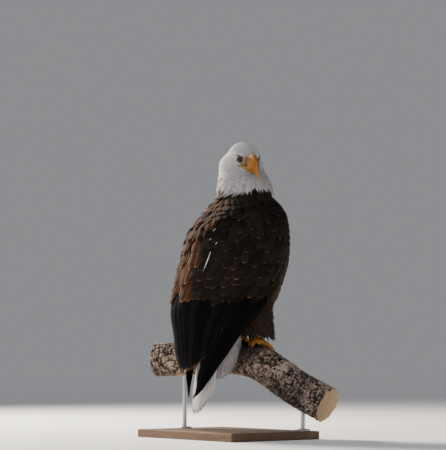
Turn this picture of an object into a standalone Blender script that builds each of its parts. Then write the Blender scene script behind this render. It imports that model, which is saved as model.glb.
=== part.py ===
"""Bald eagle at life size, looking back over its right shoulder from a cut length of branch.

The branch is held over a flat wooden base by two steel rods. Bird axes: +X is the way the breast
faces, +Y its left side, +Z up, with z = 0 at the top of the branch between the feet.
"""
import math

import bmesh
import bpy
import numpy as np
from mathutils import Matrix, Vector

# ---------------------------------------------------------------- driving dimensions, metres
GAP = 0.0003                    # clearance between pieces that touch
PERCH_HEIGHT = 0.270            # top of the branch above the floor
PERCH_RADIUS = 0.0475
NECK_BASE = 0.392               # height of the trunk's flat top, where the neck starts
HEAD_BASE = 0.4705              # height of the neck's flat top, where the head starts
TRUNK_BASE = 0.030              # height of the trunk's flat underside, where the tail starts
WING_TIP = -0.167
TAIL_TIP = -0.205
TAIL_WIDTH = 0.094
LAYER = 0.0050                  # thickness of one layer of folded wing feathers
LAYER_GAP = 0.0018              # air between two layers of curved feathers

HEAD_CENTRE = Vector((-0.075, -0.010, 0.5025))
HEAD_TURN = math.radians(-103)  # the bill points to the bird's right and a little back
HEAD_DIP = math.radians(24)
HEAD_ROLL = math.radians(4)     # the left side of the face is held a little higher
EYE_RADIUS = 0.0105
EYE_PLACE = (0.0345, 0.0230, 0.0040)    # forward, sideways, up from the head's centre
FACE_FRONT = 0.0560             # where the feathered face ends and the cere starts
CERE_END = 0.0715               # where the cere ends and the horn of the bill starts

BASE_SIZE = (0.300, 0.420, 0.022)
BASE_CENTRE = (-0.115, 0.013)
ROD_RADIUS = 0.006
ROD_FLANGE = (0.020, 0.005)     # radius and thickness of the collar on the base
ROD_DEPTH = 0.020               # how far a rod enters the branch

# Outline of the body with folded wings: at each height, the place of the greatest width, how
# far the outline reaches forward and back of it, half the width, and the angle from straight
# ahead at which the wing's leading edge lies.
OUTLINE_Z = (-0.167, -0.146, -0.100, -0.045, 0.000, 0.070, 0.130, 0.213, 0.300, 0.344, 0.392)
OUTLINE_X = (-0.254, -0.241, -0.222, -0.184, -0.155, -0.125, -0.108, -0.085, -0.070, -0.066, -0.060)
OUTLINE_FRONT = (0.05, 0.05, 0.08, 0.11, 0.14, 0.14, 0.14, 0.137, 0.127, 0.121, 0.092)
OUTLINE_BACK = (0.004, 0.018, 0.046, 0.101, 0.134, 0.174, 0.177, 0.175, 0.154, 0.113, 0.076)
OUTLINE_HALF = (0.015, 0.031, 0.050, 0.072, 0.086, 0.101, 0.110, 0.115, 0.113, 0.106, 0.077)
LEADING_EDGE = (90, 90, 90, 90, 90, 75, 60, 44, 40, 50, 72)

# The trunk inside the wings, by height: middle, reach forward, reach back, half width.
TRUNK_Z = (0.030, 0.060, 0.100, 0.150, 0.200, 0.250, 0.300, 0.344, 0.392)
TRUNK_X = (-0.125, -0.105, -0.088, -0.078, -0.070, -0.066, -0.062, -0.061, -0.060)
TRUNK_FRONT = (0.060, 0.100, 0.118, 0.127, 0.134, 0.138, 0.133, 0.124, 0.092)
TRUNK_BACK = (0.087, 0.092, 0.112, 0.128, 0.142, 0.150, 0.148, 0.118, 0.070)
TRUNK_HALF = (0.036, 0.052, 0.070, 0.090, 0.102, 0.104, 0.102, 0.095, 0.066)

# The branch's centre line, from its far left end to its near right end.
PERCH_LINE = ((-0.170, 0.263, -0.058), (-0.113, 0.152, -0.050), (-0.056, 0.041, -0.050),
              (-0.031, -0.040, -0.072), (-0.003, -0.131, -0.128), (0.030, -0.236, -0.180))
# Each leg: its side's sign, the places along the branch of the foot and of the trouser hem's middle
# as fractions of the line's points, and the height of the hem.
LEGS = {
    "right": (-1, 0.514, 0.553, 0.0195),
    "left": (1, 0.385, 0.385, 0.0400),
}
ROD_PLACES = (0.14, 0.86)


# ---------------------------------------------------------------- scene and materials
for old in list(bpy.data.objects):
    bpy.data.objects.remove(old, do_unlink=True)

parts = bpy.data.collections.new("bald_eagle")
cutters = bpy.data.collections.new("cutters")
for collection in (parts, cutters):
    bpy.context.scene.collection.children.link(collection)
root = bpy.data.objects.new("eagle_place", None)
parts.objects.link(root)

FINISHES = {
    "white_feather": ((0.62, 0.60, 0.60), 0.85, 0.0),
    "brown_feather": ((0.075, 0.048, 0.030), 0.75, 0.0),
    "flight_feather": ((0.030, 0.023, 0.020), 0.60, 0.0),
    "bill_horn": ((0.75, 0.42, 0.09), 0.40, 0.0),
    "eye": ((0.30, 0.13, 0.03), 0.10, 0.0),
    "leg_skin": ((0.72, 0.36, 0.06), 0.55, 0.0),
    "talon": ((0.020, 0.018, 0.018), 0.30, 0.0),
    "bark": ((0.19, 0.14, 0.11), 0.90, 0.0),
    "stand_wood": ((0.22, 0.12, 0.06), 0.45, 0.0),
    "stand_steel": ((0.55, 0.55, 0.56), 0.30, 1.0),
}


def finish(name, slot):
    """Give a piece its own Principled material in one of the named finishes."""
    colour, roughness, metallic = FINISHES[slot]
    material = bpy.data.materials.new(name + "_finish")
    material.use_nodes = True
    shader = material.node_tree.nodes["Principled BSDF"]
    shader.inputs["Base Color"].default_value = (*colour, 1.0)
    shader.inputs["Roughness"].default_value = roughness
    shader.inputs["Metallic"].default_value = metallic
    return material


def add_piece(name, mesh, slot):
    """Put a mesh in the model as a named piece, or among the cutters when it has no finish."""
    piece = bpy.data.objects.new(name, mesh)
    if slot:
        mesh.materials.append(finish(name, slot))
        mesh.shade_smooth()
        parts.objects.link(piece)
    else:
        cutters.objects.link(piece)
        piece.hide_render = True
        piece.display_type = "WIRE"
    piece.parent = root
    return piece


def subtract(piece, cutter):
    """Cut a cutter's shape out of a piece."""
    cut = piece.modifiers.new("cut_by_" + cutter.name, "BOOLEAN")
    cut.operation = "DIFFERENCE"
    cut.solver = "EXACT"
    cut.object = cutter


# ---------------------------------------------------------------- shapes
def along(stations, values, t):
    """Smooth curve through values at rising stations: cubic with slopes from the neighbours."""
    stations, values, t = (np.asarray(a, float) for a in (stations, values, t))
    if stations[0] > stations[-1]:
        stations, values = stations[::-1], values[::-1]
    slopes = np.gradient(values, stations, axis=0)
    i = np.clip(np.searchsorted(stations, t) - 1, 0, len(stations) - 2)
    width = stations[i + 1] - stations[i]
    f = np.clip((t - stations[i]) / width, 0, 1)
    if values.ndim > 1:
        f, width = f[..., None], width[..., None]
    return (values[i] * (1 + 2 * f) * (1 - f) ** 2 + values[i + 1] * f * f * (3 - 2 * f)
            + width * (slopes[i] * f * (1 - f) ** 2 + slopes[i + 1] * f * f * (f - 1)))


def loft(name, rings, slot):
    """Close a stack of rings, each a loop of points, into a solid with a flat fan at each end."""
    rings = np.asarray(rings, float)
    count, sides = rings.shape[:2]
    points = np.vstack([rings.reshape(-1, 3), rings[0].mean(0), rings[-1].mean(0)])
    low, high = count * sides, count * sides + 1
    faces = []
    for k in range(sides):
        n = (k + 1) % sides
        faces.append((low, n, k))
        faces.append((high, (count - 1) * sides + k, (count - 1) * sides + n))
        for r in range(count - 1):
            a, b = r * sides, (r + 1) * sides
            faces.append((a + k, a + n, b + n, b + k))
    return add_piece(name, outward_mesh(name, points, faces), slot)


def slab(name, outer, inner, slot):
    """Close two matching grids of points, a front face and a back face, into one solid."""
    rows, columns = outer.shape[:2]
    points = np.vstack([outer.reshape(-1, 3), inner.reshape(-1, 3)])
    back = rows * columns
    faces = []
    for r in range(rows - 1):
        for c in range(columns - 1):
            a = r * columns + c
            faces.append((a, a + 1, a + columns + 1, a + columns))
            faces.append((back + a, back + a + columns, back + a + columns + 1, back + a + 1))
    border = [c for c in range(columns)] + [r * columns + columns - 1 for r in range(1, rows)]
    border += [(rows - 1) * columns + c for c in range(columns - 2, -1, -1)]
    border += [r * columns for r in range(rows - 2, 0, -1)]
    for a, b in zip(border, border[1:] + border[:1]):
        faces.append((b, a, back + a, back + b))
    return add_piece(name, outward_mesh(name, points, faces), slot)


def outward_mesh(name, points, faces):
    """Build a mesh whose faces all point out of the solid."""
    mesh = bpy.data.meshes.new(name)
    mesh.from_pydata([tuple(p) for p in points], [], faces)
    work = bmesh.new()
    work.from_mesh(mesh)
    bmesh.ops.recalc_face_normals(work, faces=work.faces)
    if work.calc_volume(signed=True) < 0:
        bmesh.ops.reverse_faces(work, faces=work.faces)
    work.to_mesh(mesh)
    work.free()
    return mesh


def oval(x, y, z, reach_x, reach_y, sides, squareness=1.0):
    """Level ring of points round an oval; squareness under 1 fills its corners."""
    turn = np.arange(sides) * 2 * math.pi / sides
    c, s = np.cos(turn), np.sin(turn)
    c = np.sign(c) * np.abs(c) ** squareness
    s = np.sign(s) * np.abs(s) ** squareness
    reach = np.where(c > 0, reach_x[0], reach_x[1]) if isinstance(reach_x, tuple) else reach_x
    return np.column_stack([x + reach * c, y + reach_y * s, np.full(sides, z)])


def sweep(name, line, wide, high, side, slot, sides=10):
    """Carry an oval along a line: wide across the side direction, high across the other one."""
    line, side = np.asarray(line, float), np.asarray(side, float)
    ahead = np.gradient(line, axis=0)
    ahead /= np.linalg.norm(ahead, axis=1)[:, None]
    across = side - (ahead @ side)[:, None] * ahead
    across /= np.linalg.norm(across, axis=1)[:, None]
    up = np.cross(ahead, across)
    turn = np.arange(sides) * 2 * math.pi / sides
    ring = (np.cos(turn)[None, :, None] * across[:, None] * np.asarray(wide)[:, None, None]
            + np.sin(turn)[None, :, None] * up[:, None] * np.asarray(high)[:, None, None])
    return loft(name, line[:, None] + ring, slot)


# ---------------------------------------------------------------- trunk
TRUNK_SIDES = 24
TRUNK_FILL = 0.92               # below 1, the ovals' corners are a little full
LEG_CLEAR = 0.0012              # clearance between the trunk and the thighs
TRUNK_LEVELS = (0.030, 0.045, 0.070, 0.100, 0.140, 0.190, 0.240, 0.285, 0.322, 0.350, 0.372,
                0.392)


def trunk_rings(swell=0.0):
    """Level ovals up the trunk, each made larger by the swell."""
    rings = []
    for z in TRUNK_LEVELS:
        forward = along(TRUNK_Z, TRUNK_FRONT, z) + swell
        back = along(TRUNK_Z, TRUNK_BACK, z) + swell
        half = along(TRUNK_Z, TRUNK_HALF, z) + swell
        rings.append(oval(along(TRUNK_Z, TRUNK_X, z), 0, z, (forward, back), half,
                          TRUNK_SIDES, TRUNK_FILL))
    return rings


trunk = loft("trunk", trunk_rings(), "brown_feather")
trunk_room = loft("trunk_room", trunk_rings(swell=LEG_CLEAR), None)

# ---------------------------------------------------------------- head and neck
head_frame = (Matrix.Translation(HEAD_CENTRE) @ Matrix.Rotation(HEAD_TURN, 4, "Z")
              @ Matrix.Rotation(HEAD_DIP, 4, "Y") @ Matrix.Rotation(HEAD_ROLL, 4, "X"))


def in_head(forward, side, up):
    """Point given in the head's own axes."""
    return head_frame @ Vector((forward, side, up))


# Rounded masses that blend into the head: centre in head axes, and radii.
HEAD_MASSES = (
    ((0.002, 0.0, 0.001), (0.044, 0.0405, 0.0395)),     # crown and back of the skull
    ((0.030, 0.0, 0.003), (0.034, 0.0300, 0.0250)),      # forehead and brows
    ((0.036, 0.0, -0.010), (0.030, 0.0235, 0.0200)),     # lores and chin
    ((-0.004, 0.0, -0.032), (0.057, 0.0625, 0.0455)),    # cheeks and nape
)
BLEND = 0.10


def head_field(points):
    """Below 1 inside the head: rounded masses joined by a smooth minimum."""
    local = (np.linalg.inv(np.array(head_frame)) @ np.column_stack(
        [points, np.ones(len(points))]).T).T[:, :3]
    total = 0
    for centre, radii in HEAD_MASSES:
        level = np.linalg.norm((local - centre) / radii, axis=1)
        total = total + np.exp(-level / BLEND)
    return -BLEND * np.log(total)


HEART = (-0.070, -0.006)        # middle of the head's base
CROWN_RISE = math.radians(84)   # the highest ring of the head, as a rise above its base
RAY_LENGTH = 0.2
HALVINGS = 30


def head_rings(sides=26, levels=11):
    """Rings on rays from the middle of the head's base, each ray ended where it leaves the head."""
    heart = np.array((*HEART, HEAD_BASE + GAP))
    turn = np.arange(sides) * 2 * math.pi / sides
    rings = []
    for rise in np.linspace(0, CROWN_RISE, levels):
        rays = np.column_stack([math.cos(rise) * np.cos(turn), math.cos(rise) * np.sin(turn),
                                np.full(sides, math.sin(rise))])
        near, far = np.zeros(sides), np.full(sides, RAY_LENGTH)
        for _ in range(HALVINGS):
            middle = (near + far) / 2
            inside = head_field(heart + rays * middle[:, None]) < 1
            near, far = np.where(inside, middle, near), np.where(inside, far, middle)
        rings.append(heart + rays * near[:, None])
    return rings


head = loft("head", head_rings(), "white_feather")

# The neck's loose hackles: full at the shoulders, drawn in to the outline of the head's base.
NECK_Z = (NECK_BASE + GAP, 0.410, 0.432, 0.454, HEAD_BASE)
NECK_X = (-0.060, -0.060, -0.060, -0.061, -0.063)
NECK_DEEP = (0.083, 0.081, 0.079, 0.076, 0.070)
NECK_HALF = (0.071, 0.071, 0.069, 0.066, 0.062)
NECK_TO_HEAD = (0.0, 0.0, 0.15, 0.55, 1.0)
head_base = head_rings()[0] - np.array((0, 0, GAP))
neck_rings = []
for z, x, deep, half, blend in zip(NECK_Z, NECK_X, NECK_DEEP, NECK_HALF, NECK_TO_HEAD):
    level_base = head_base + np.array((0, 0, z - HEAD_BASE))
    neck_rings.append(oval(x, 0, z, deep, half, len(head_base)) * (1 - blend) + level_base * blend)
neck = loft("neck", neck_rings, "white_feather")


def box_cutter(name, low, high):
    """Box in head axes between two corners."""
    mesh = bpy.data.meshes.new(name)
    work = bmesh.new()
    bmesh.ops.create_cube(work, size=1.0)
    low, high = Vector(low), Vector(high)
    size = high - low
    bmesh.ops.scale(work, vec=size, verts=work.verts)
    bmesh.ops.translate(work, vec=(low + high) / 2, verts=work.verts)
    bmesh.ops.transform(work, matrix=head_frame, verts=work.verts)
    work.to_mesh(mesh)
    work.free()
    return add_piece(name, mesh, None)


def ball(name, centre, radius, slot, segments=12):
    """Faceted sphere."""
    mesh = bpy.data.meshes.new(name)
    work = bmesh.new()
    bmesh.ops.create_uvsphere(work, u_segments=segments, v_segments=segments // 2 + 2, radius=radius)
    bmesh.ops.translate(work, vec=centre, verts=work.verts)
    work.to_mesh(mesh)
    work.free()
    return add_piece(name, mesh, slot)


FAR = 0.16                      # beyond the tip of the bill
WIDE = 0.06                     # beyond the sides, top and bottom of the head
CHIN = -0.034                   # the throat is hollowed above this height to clear the bill
THROAT_HALF = 0.03
THROAT_TOP = 0.02
subtract(head, box_cutter("face_cut", (FACE_FRONT, -WIDE, -WIDE), (FAR, WIDE, WIDE)))
subtract(neck, box_cutter("throat_cut", (FACE_FRONT - 0.001, -THROAT_HALF, CHIN),
                          (FAR, THROAT_HALF, THROAT_TOP)))

SOCKET_ANGLES = np.radians((-80, -55, -30, -5, 15))     # rings of the hollow, from its bottom up
ORBIT_FLARE = 0.0035            # how much wider than the eye its hollow is at the face's surface
ORBIT_RINGS = ((0.8, 0.6), (2.2, 2.2))      # flared rings: eye radii outward, shares of the flare
GAZE = 0.35                     # how far forward the eyes look for each metre sideways


def eye_socket(name, centre, outward):
    """Round hollow for the eyeball that flares towards the surface of the face."""
    room = EYE_RADIUS + 2 * GAP
    aside = outward.orthogonal().normalized()
    across = np.array(outward.cross(aside))
    aside, centre, outward = np.array(aside), np.array(centre), np.array(outward)
    turn = np.arange(16) * 2 * math.pi / 16
    wheel = np.cos(turn)[:, None] * aside + np.sin(turn)[:, None] * across
    rings = []
    for angle in SOCKET_ANGLES:
        rings.append(centre + outward * room * math.sin(angle) + wheel * room * math.cos(angle))
    for out, flare in ORBIT_RINGS:
        rings.append(centre + outward * room * out + wheel * (room + flare * ORBIT_FLARE))
    return loft(name, rings, None)


for side, sign in (("right", -1), ("left", 1)):
    forward, out, up = EYE_PLACE
    eye_centre = in_head(forward, sign * out, up)
    outward = (in_head(forward + GAZE, sign * (out + 1.0), up) - eye_centre).normalized()
    ball("eye_" + side, eye_centre, EYE_RADIUS, "eye")
    subtract(head, eye_socket("eye_socket_" + side, eye_centre, outward))


# ---------------------------------------------------------------- bill
# Upper bill, from the face to the hooked tip: middle, half height and half width, head axes.
BILL_T = (0.0, 0.25, 0.50, 0.72, 0.88, 1.0)
BILL_LINE = ((0.0560, 0.0050), (0.0690, 0.0050), (0.0820, 0.0010), (0.0930, -0.0085),
             (0.0990, -0.0200), (0.1015, -0.0330))
BILL_HIGH = (0.0205, 0.0195, 0.0175, 0.0130, 0.0075, 0.0012)
BILL_WIDE = (0.0165, 0.0155, 0.0135, 0.0100, 0.0058, 0.0010)
LOWER_T = (0.0, 0.5, 0.85, 1.0)
LOWER_LINE = ((0.0563, -0.0215), (0.0710, -0.0222), (0.0810, -0.0215), (0.0850, -0.0205))
LOWER_HIGH = (0.0060, 0.0050, 0.0035, 0.0012)
LOWER_WIDE = (0.0125, 0.0105, 0.0070, 0.0020)
SIDEWAYS = head_frame.to_3x3() @ Vector((0, 1, 0))


def bill_piece(name, stations, line, wide, high, start, end, steps):
    """Stretch of a bill between two shares of its length, as a solid with oval sections."""
    t = np.linspace(start, end, steps)
    places = along(stations, line, t)
    points = [in_head(forward, 0.0, up) for forward, up in places]
    return sweep(name, points, along(stations, wide, t), along(stations, high, t), SIDEWAYS,
                 "bill_horn", sides=14)


CERE_PART = 0.27                # share of the upper bill's length that the cere covers
TOMIUM = -0.0160                # height of the line along which the bill closes
HOOK_START = 0.0835             # the upper bill hangs below that line from here to its tip
upper = bill_piece("bill_upper", BILL_T, BILL_LINE, BILL_WIDE, BILL_HIGH, CERE_PART, 1.0, 10)
cere = bill_piece("bill_cere", BILL_T, BILL_LINE, BILL_WIDE, BILL_HIGH, 0.0, CERE_PART, 4)
lower = bill_piece("bill_lower", LOWER_T, LOWER_LINE, LOWER_WIDE, LOWER_HIGH, 0.0, 1.0, 6)
for piece in (upper, cere):
    subtract(piece, box_cutter(piece.name + "_under", (0.0, -WIDE, -WIDE), (HOOK_START, WIDE, TOMIUM)))
subtract(lower, box_cutter("lower_top_cut", (0.0, -WIDE, TOMIUM - GAP), (FAR, WIDE, WIDE)))
subtract(lower, box_cutter("lower_back_cut", (0.0, -WIDE, -WIDE), (FACE_FRONT + GAP, WIDE, WIDE)))
subtract(cere, box_cutter("cere_back_cut", (0.0, -WIDE, -WIDE), (FACE_FRONT + GAP, WIDE, WIDE)))
subtract(cere, box_cutter("cere_front_cut", (CERE_END, -WIDE, -WIDE), (FAR, WIDE, WIDE)))
subtract(upper, box_cutter("horn_back_cut", (0.0, -WIDE, -WIDE), (CERE_END + GAP, WIDE, WIDE)))


# ---------------------------------------------------------------- folded wings
SEAM = 0.0012                   # half the gap between the two wings along the back
SCAPULAR_EDGE = 0.77            # how far round the wing the shoulder-blade feathers start
WING_FILL = 0.88                # below 1, the ovals' corners are a little full
SPLIT = 0.010                   # gap between neighbouring feather groups, as a share of the wing
WING_COLUMNS = [*np.linspace(0, 0.66, 7), *np.linspace(SCAPULAR_EDGE, 1, 5)]


def wing_point(sign, s, z, depth):
    """Point on a folded wing: s runs from the leading edge to the back's middle, depth inwards."""
    middle = along(OUTLINE_Z, OUTLINE_X, z)
    forward = along(OUTLINE_Z, OUTLINE_FRONT, z)
    back = along(OUTLINE_Z, OUTLINE_BACK, z)
    half = along(OUTLINE_Z, OUTLINE_HALF, z)
    start = np.radians(along(OUTLINE_Z, LEADING_EDGE, z))
    turn = start + s * (math.pi - start)
    c, n = np.cos(turn), np.sin(turn)
    reach = np.where(c > 0, forward, back)
    x = reach * np.sign(c) * np.abs(c) ** WING_FILL
    y = half * np.abs(n) ** WING_FILL
    slope = np.stack([c / reach, n / half], -1)
    slope /= np.linalg.norm(slope, axis=-1)[..., None]
    x = middle + x - depth * slope[..., 0]
    y = np.maximum(y - depth * slope[..., 1], 0) + SEAM
    return np.stack([x, sign * y, np.broadcast_to(z, x.shape)], -1)


def wing_layer(name, sign, span, top, bottom, depth, thick, rows, slot):
    """One layer of folded feathers between two heights that vary across the wing."""
    s = np.array([span[0]] + [a for a in WING_COLUMNS if span[0] < a < span[1]] + [span[1]])[None]
    f = np.linspace(0, 1, rows)[:, None]
    z = top(s) * (1 - f) + bottom(s) * f
    s = np.broadcast_to(s, z.shape)
    outer = wing_point(sign, s, z, depth)
    inner = wing_point(sign, s, z, depth + thick)
    return slab(name, outer, inner, slot)


# Heights at which the layers of a folded wing start and end, across the wing.
WING_TOP = 0.388
SECONDARY_TOP = 0.270
PRIMARY_TOP = 0.250


def level(height):
    return lambda s: height + 0 * s


def covert_hem(s):
    return 0.168 + 0.085 * s


def greater_hem(s):
    return 0.110 + 0.080 * s


def scapular_hem(s):
    return 0.105 + 3.0 * (s - 0.89) ** 2


def secondary_hem(s):
    return -0.090 + 0.12 * (s - 0.80) ** 2


def primary_hem(s):
    return WING_TIP + 0.02 * np.abs(s - 0.5)


STEP = LAYER + LAYER_GAP
GREATER_DEPTH = 0.0010          # the greater coverts lie this much deeper than the small ones
HEM_GAP = 0.0006
ROOM = 0.0020                   # clearance between a folded wing and the trunk
for side, sign in (("right", -1), ("left", 1)):
    arm = (0.0, SCAPULAR_EDGE - SPLIT)
    wing_layer("wing_coverts_" + side, sign, arm, level(WING_TOP), covert_hem, 0.0, LAYER, 8,
               "brown_feather")
    wing_layer("wing_greater_coverts_" + side, sign, arm, lambda s: covert_hem(s) - HEM_GAP,
               greater_hem, GREATER_DEPTH, LAYER - GREATER_DEPTH, 4, "brown_feather")
    wing_layer("scapulars_" + side, sign, (SCAPULAR_EDGE, 1.0), level(WING_TOP), scapular_hem,
               0.0, LAYER, 8, "brown_feather")
    wing_layer("wing_secondaries_" + side, sign, (0.40, 1.0), level(SECONDARY_TOP),
               secondary_hem, STEP, LAYER, 10, "flight_feather")
    wing_layer("wing_primaries_" + side, sign, (0.0, 1.0), level(PRIMARY_TOP), primary_hem,
               2 * STEP, LAYER, 11, "flight_feather")
    subtract(trunk, wing_layer("wing_room_" + side, sign, (-0.015, 1.0), level(0.391),
                               level(0.010), -ROOM, 2 * STEP + LAYER + 2 * ROOM, 14, None))


# ---------------------------------------------------------------- tail and its coverts
TAIL_LEAN = 0.170               # how far back the tail goes for each metre down
TAIL_ROOT = -0.183


def tail_grid(top, tip, half_top, half_low, round_tip, front, roof, columns=7, rows=8):
    """Grid down the tail: across it by columns, with rounded corners at the tip."""
    v = np.linspace(-1, 1, columns)[None, :]
    f = np.linspace(0, 1, rows)[:, None]
    half = half_top + (half_low - half_top) * np.sin(f * math.pi / 2)
    z = top + (tip - top + round_tip * v * v) * f
    x = TAIL_ROOT + TAIL_LEAN * (z - TRUNK_BASE) + front + roof * v * v
    return np.stack([x, half * v, z], -1)


TAIL_TOP = TRUNK_BASE - GAP
slab("tail", tail_grid(TAIL_TOP, TAIL_TIP, 0.030, TAIL_WIDTH / 2, 0.022, -0.005, 0.006),
     tail_grid(TAIL_TOP, TAIL_TIP, 0.030, TAIL_WIDTH / 2, 0.022, 0.003, 0.006), "white_feather")
slab("tail_coverts_upper",
     tail_grid(TAIL_TOP, -0.075, 0.028, 0.036, 0.02, -0.0135, 0.003, 7, 5),
     tail_grid(TAIL_TOP, -0.075, 0.028, 0.036, 0.02, -0.0070, 0.003, 7, 5), "white_feather")
COVERT_Z = (TAIL_TOP, 0.000, -0.030, -0.065, -0.095, -0.118)
COVERT_X = (-0.137, -0.142, -0.1475, -0.156, -0.170, -0.187)
COVERT_DEEP = (0.039, 0.041, 0.040, 0.036, 0.025, 0.009)
COVERT_HALF = (0.034, 0.036, 0.036, 0.035, 0.030, 0.016)
loft("tail_coverts_under", [oval(x, 0, z, deep, half, 16)
                            for z, x, deep, half in
                            zip(COVERT_Z, COVERT_X, COVERT_DEEP, COVERT_HALF)], "white_feather")


# ---------------------------------------------------------------- branch
PERCH_STOPS = np.linspace(0, 1, len(PERCH_LINE))
SPAN = 0.002                    # step used to find the branch's direction
BULGE = 0.0025                  # how far the branch's ends are out of round
ROUND_MIDDLE = 0.2              # within this of its middle it is round, under the feet


def perch_frame(t):
    """Centre, direction, upward and bird-forward unit vectors at a place on the branch."""
    centre = along(PERCH_STOPS, PERCH_LINE, t)
    ahead = along(PERCH_STOPS, PERCH_LINE, t + SPAN) - along(PERCH_STOPS, PERCH_LINE, t - SPAN)
    ahead = ahead / np.linalg.norm(ahead)
    up = np.array((0, 0, 1.0)) - ahead[2] * ahead
    up = up / np.linalg.norm(up)
    return centre, ahead, up, np.cross(up, ahead) * np.sign(np.cross(up, ahead)[0])


def on_perch(t, turn, height):
    """Point at a height over the bark, turned from the top of the branch towards the breast."""
    centre, _, up, front = perch_frame(t)
    return centre + (PERCH_RADIUS + height) * (up * math.cos(turn) + front * math.sin(turn))


def perch_rings(sides=16, count=17):
    """Rings along the branch, square to its line."""
    rings = []
    for t in np.linspace(0, 1, count):
        centre, _, up, front = perch_frame(min(max(t, SPAN), 1 - SPAN))
        bulge = BULGE * math.sin(9 * t) ** 2 * (abs(t - 0.5) > ROUND_MIDDLE)
        turn = np.arange(sides) * 2 * math.pi / sides
        radius = (PERCH_RADIUS + bulge * np.cos(2 * turn + 3 * t))[:, None]
        rings.append(centre + radius * (np.cos(turn)[:, None] * up + np.sin(turn)[:, None] * front))
    return rings


perch = loft("perch", perch_rings(), "bark")


# ---------------------------------------------------------------- legs and feet
THIGH_TOP = 0.150               # height at which the thigh leaves the flank
THIGH_X = -0.062                # middle of the thigh there
THIGH_Y = 0.046
THIGH_STOPS = (0, 0.3, 0.65, 1)     # shares of the way down, with reach and half width there
THIGH_DEEP = (0.052, 0.055, 0.050, 0.049)
THIGH_WIDE = (0.030, 0.031, 0.030, 0.029)
HEM_SHIFT = -0.029              # how far behind the branch's top the trouser hem's middle hangs
PAD_RADIUS = 0.0225
PAD_HALF = 0.0095
PAD_CLEAR = 0.0006              # more clearance for the pad, under it and over it
TARSUS_DEEP = 0.0095
TARSUS_WIDE = 0.0085
TARSUS_START = 0.0032           # above the pad's top, which leans with the branch
TOE_CLEAR = 0.0012              # clearance between a toe and the bark
TOE_TAPER = 0.22
TOE_SIDES = 7
# Each toe: spread along the branch at its root and tip, turn about the branch at both, radius.
TOES = {
    "inner": (0.0165, 0.0225, 0.34, 1.00, 0.0080),
    "middle": (0.0, 0.0030, 0.46, 1.36, 0.0085),
    "outer": (-0.0178, -0.0360, 0.40, 1.15, 0.0075),
    "hind": (0.0, -0.0080, -0.46, -0.74, 0.0085),
}
TALON_START = 0.0032            # along the bark from the end of a toe to the root of its talon
TALON_LENGTH = 0.0300
TALON_THICK = 0.70              # radius at a talon's root, height there and fall to its point, each
TALON_HIGH = 0.78               # as a share of its toe's radius
TALON_FALL = 0.62
TALON_ARCH = 0.0045
TALON_POINT = 0.0006


def thigh(side, sign, hem_x, hem_y, hem):
    """Feathered leg: a cone from the flank to the loose trouser hem over the foot."""
    levels = np.linspace(THIGH_TOP, hem, 8)
    drop = (THIGH_TOP - levels) / (THIGH_TOP - hem)
    rings = []
    for z, f in zip(levels, drop):
        x = THIGH_X + (hem_x + HEM_SHIFT - THIGH_X) * f
        y = sign * THIGH_Y + (hem_y - sign * THIGH_Y) * f
        deep = along(THIGH_STOPS, THIGH_DEEP, f)
        wide = along(THIGH_STOPS, THIGH_WIDE, f)
        rings.append(oval(x, y, z, deep, wide, 16))
    piece = loft("thigh_" + side, rings, "brown_feather")
    subtract(piece, trunk_room)


def foot(side, sign, place, hem):
    """Round pad on the branch, the short bare shank above it, and four toes with their talons."""
    centre, ahead, up, front = perch_frame(place)
    pad = on_perch(place, 0.0, PAD_HALF + GAP + PAD_CLEAR)
    stretch = along(PERCH_STOPS, PERCH_LINE, place + SPAN) - centre
    per_metre = SPAN / np.linalg.norm(stretch)
    stack = []
    for f in np.linspace(-1, 1, 7):
        shrink = math.sqrt(max(1 - f * f, 0.10))
        spin = np.arange(14) * 2 * math.pi / 14
        lift = PAD_HALF * f
        ring = pad + lift * up + PAD_RADIUS * shrink * (
            np.cos(spin)[:, None] * front + 0.92 * np.sin(spin)[:, None] * ahead)
        stack.append(ring)
    loft("foot_" + side, stack, "leg_skin")
    pad_top = pad + (PAD_HALF + PAD_CLEAR) * up
    loft("tarsus_" + side, [oval(pad_top[0], pad_top[1], z, TARSUS_DEEP, TARSUS_WIDE, 12)
                            for z in (pad_top[2] + TARSUS_START, hem - GAP)], "leg_skin")
    for toe, (root_u, tip_u, root_turn, tip_turn, radius) in TOES.items():
        f = np.linspace(0, 1, 6)
        u = (root_u + (tip_u - root_u) * f) * sign
        turn = root_turn + (tip_turn - root_turn) * f
        thick = radius * (1 - TOE_TAPER * f) * (1 + 0.05 * np.cos(f * 6 * math.pi))
        line = [on_perch(place + a * per_metre, b, c + TOE_CLEAR)
                for a, b, c in zip(u, turn, thick)]
        sweep("toe_%s_%s" % (toe, side), line, thick, thick, ahead, "leg_skin", TOE_SIDES)
        way = np.array((u[-1] - u[0], PERCH_RADIUS * (turn[-1] - turn[0])))
        reach = (TALON_START + TALON_LENGTH * f)[:, None] * way / np.linalg.norm(way)
        u, turn = u[-1] + reach[:, 0], turn[-1] + reach[:, 1] / PERCH_RADIUS
        thick = radius * TALON_THICK * (1 - f) ** 0.8 + TALON_POINT
        rise = (radius * (TALON_HIGH - TALON_FALL * f ** 2) + TOE_CLEAR
                + TALON_ARCH * np.sin(f * math.pi))
        line = [on_perch(place + a * per_metre, b, c) for a, b, c in zip(u, turn, rise)]
        sweep("talon_%s_%s" % (toe, side), line, thick, thick, ahead, "talon", TOE_SIDES)


for side, (sign, foot_place, hem_place, hem) in LEGS.items():
    hem_x, hem_y, _ = on_perch(hem_place, 0.0, 0.0)
    thigh(side, sign, hem_x, hem_y, hem)
    foot(side, sign, foot_place, hem)


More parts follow.
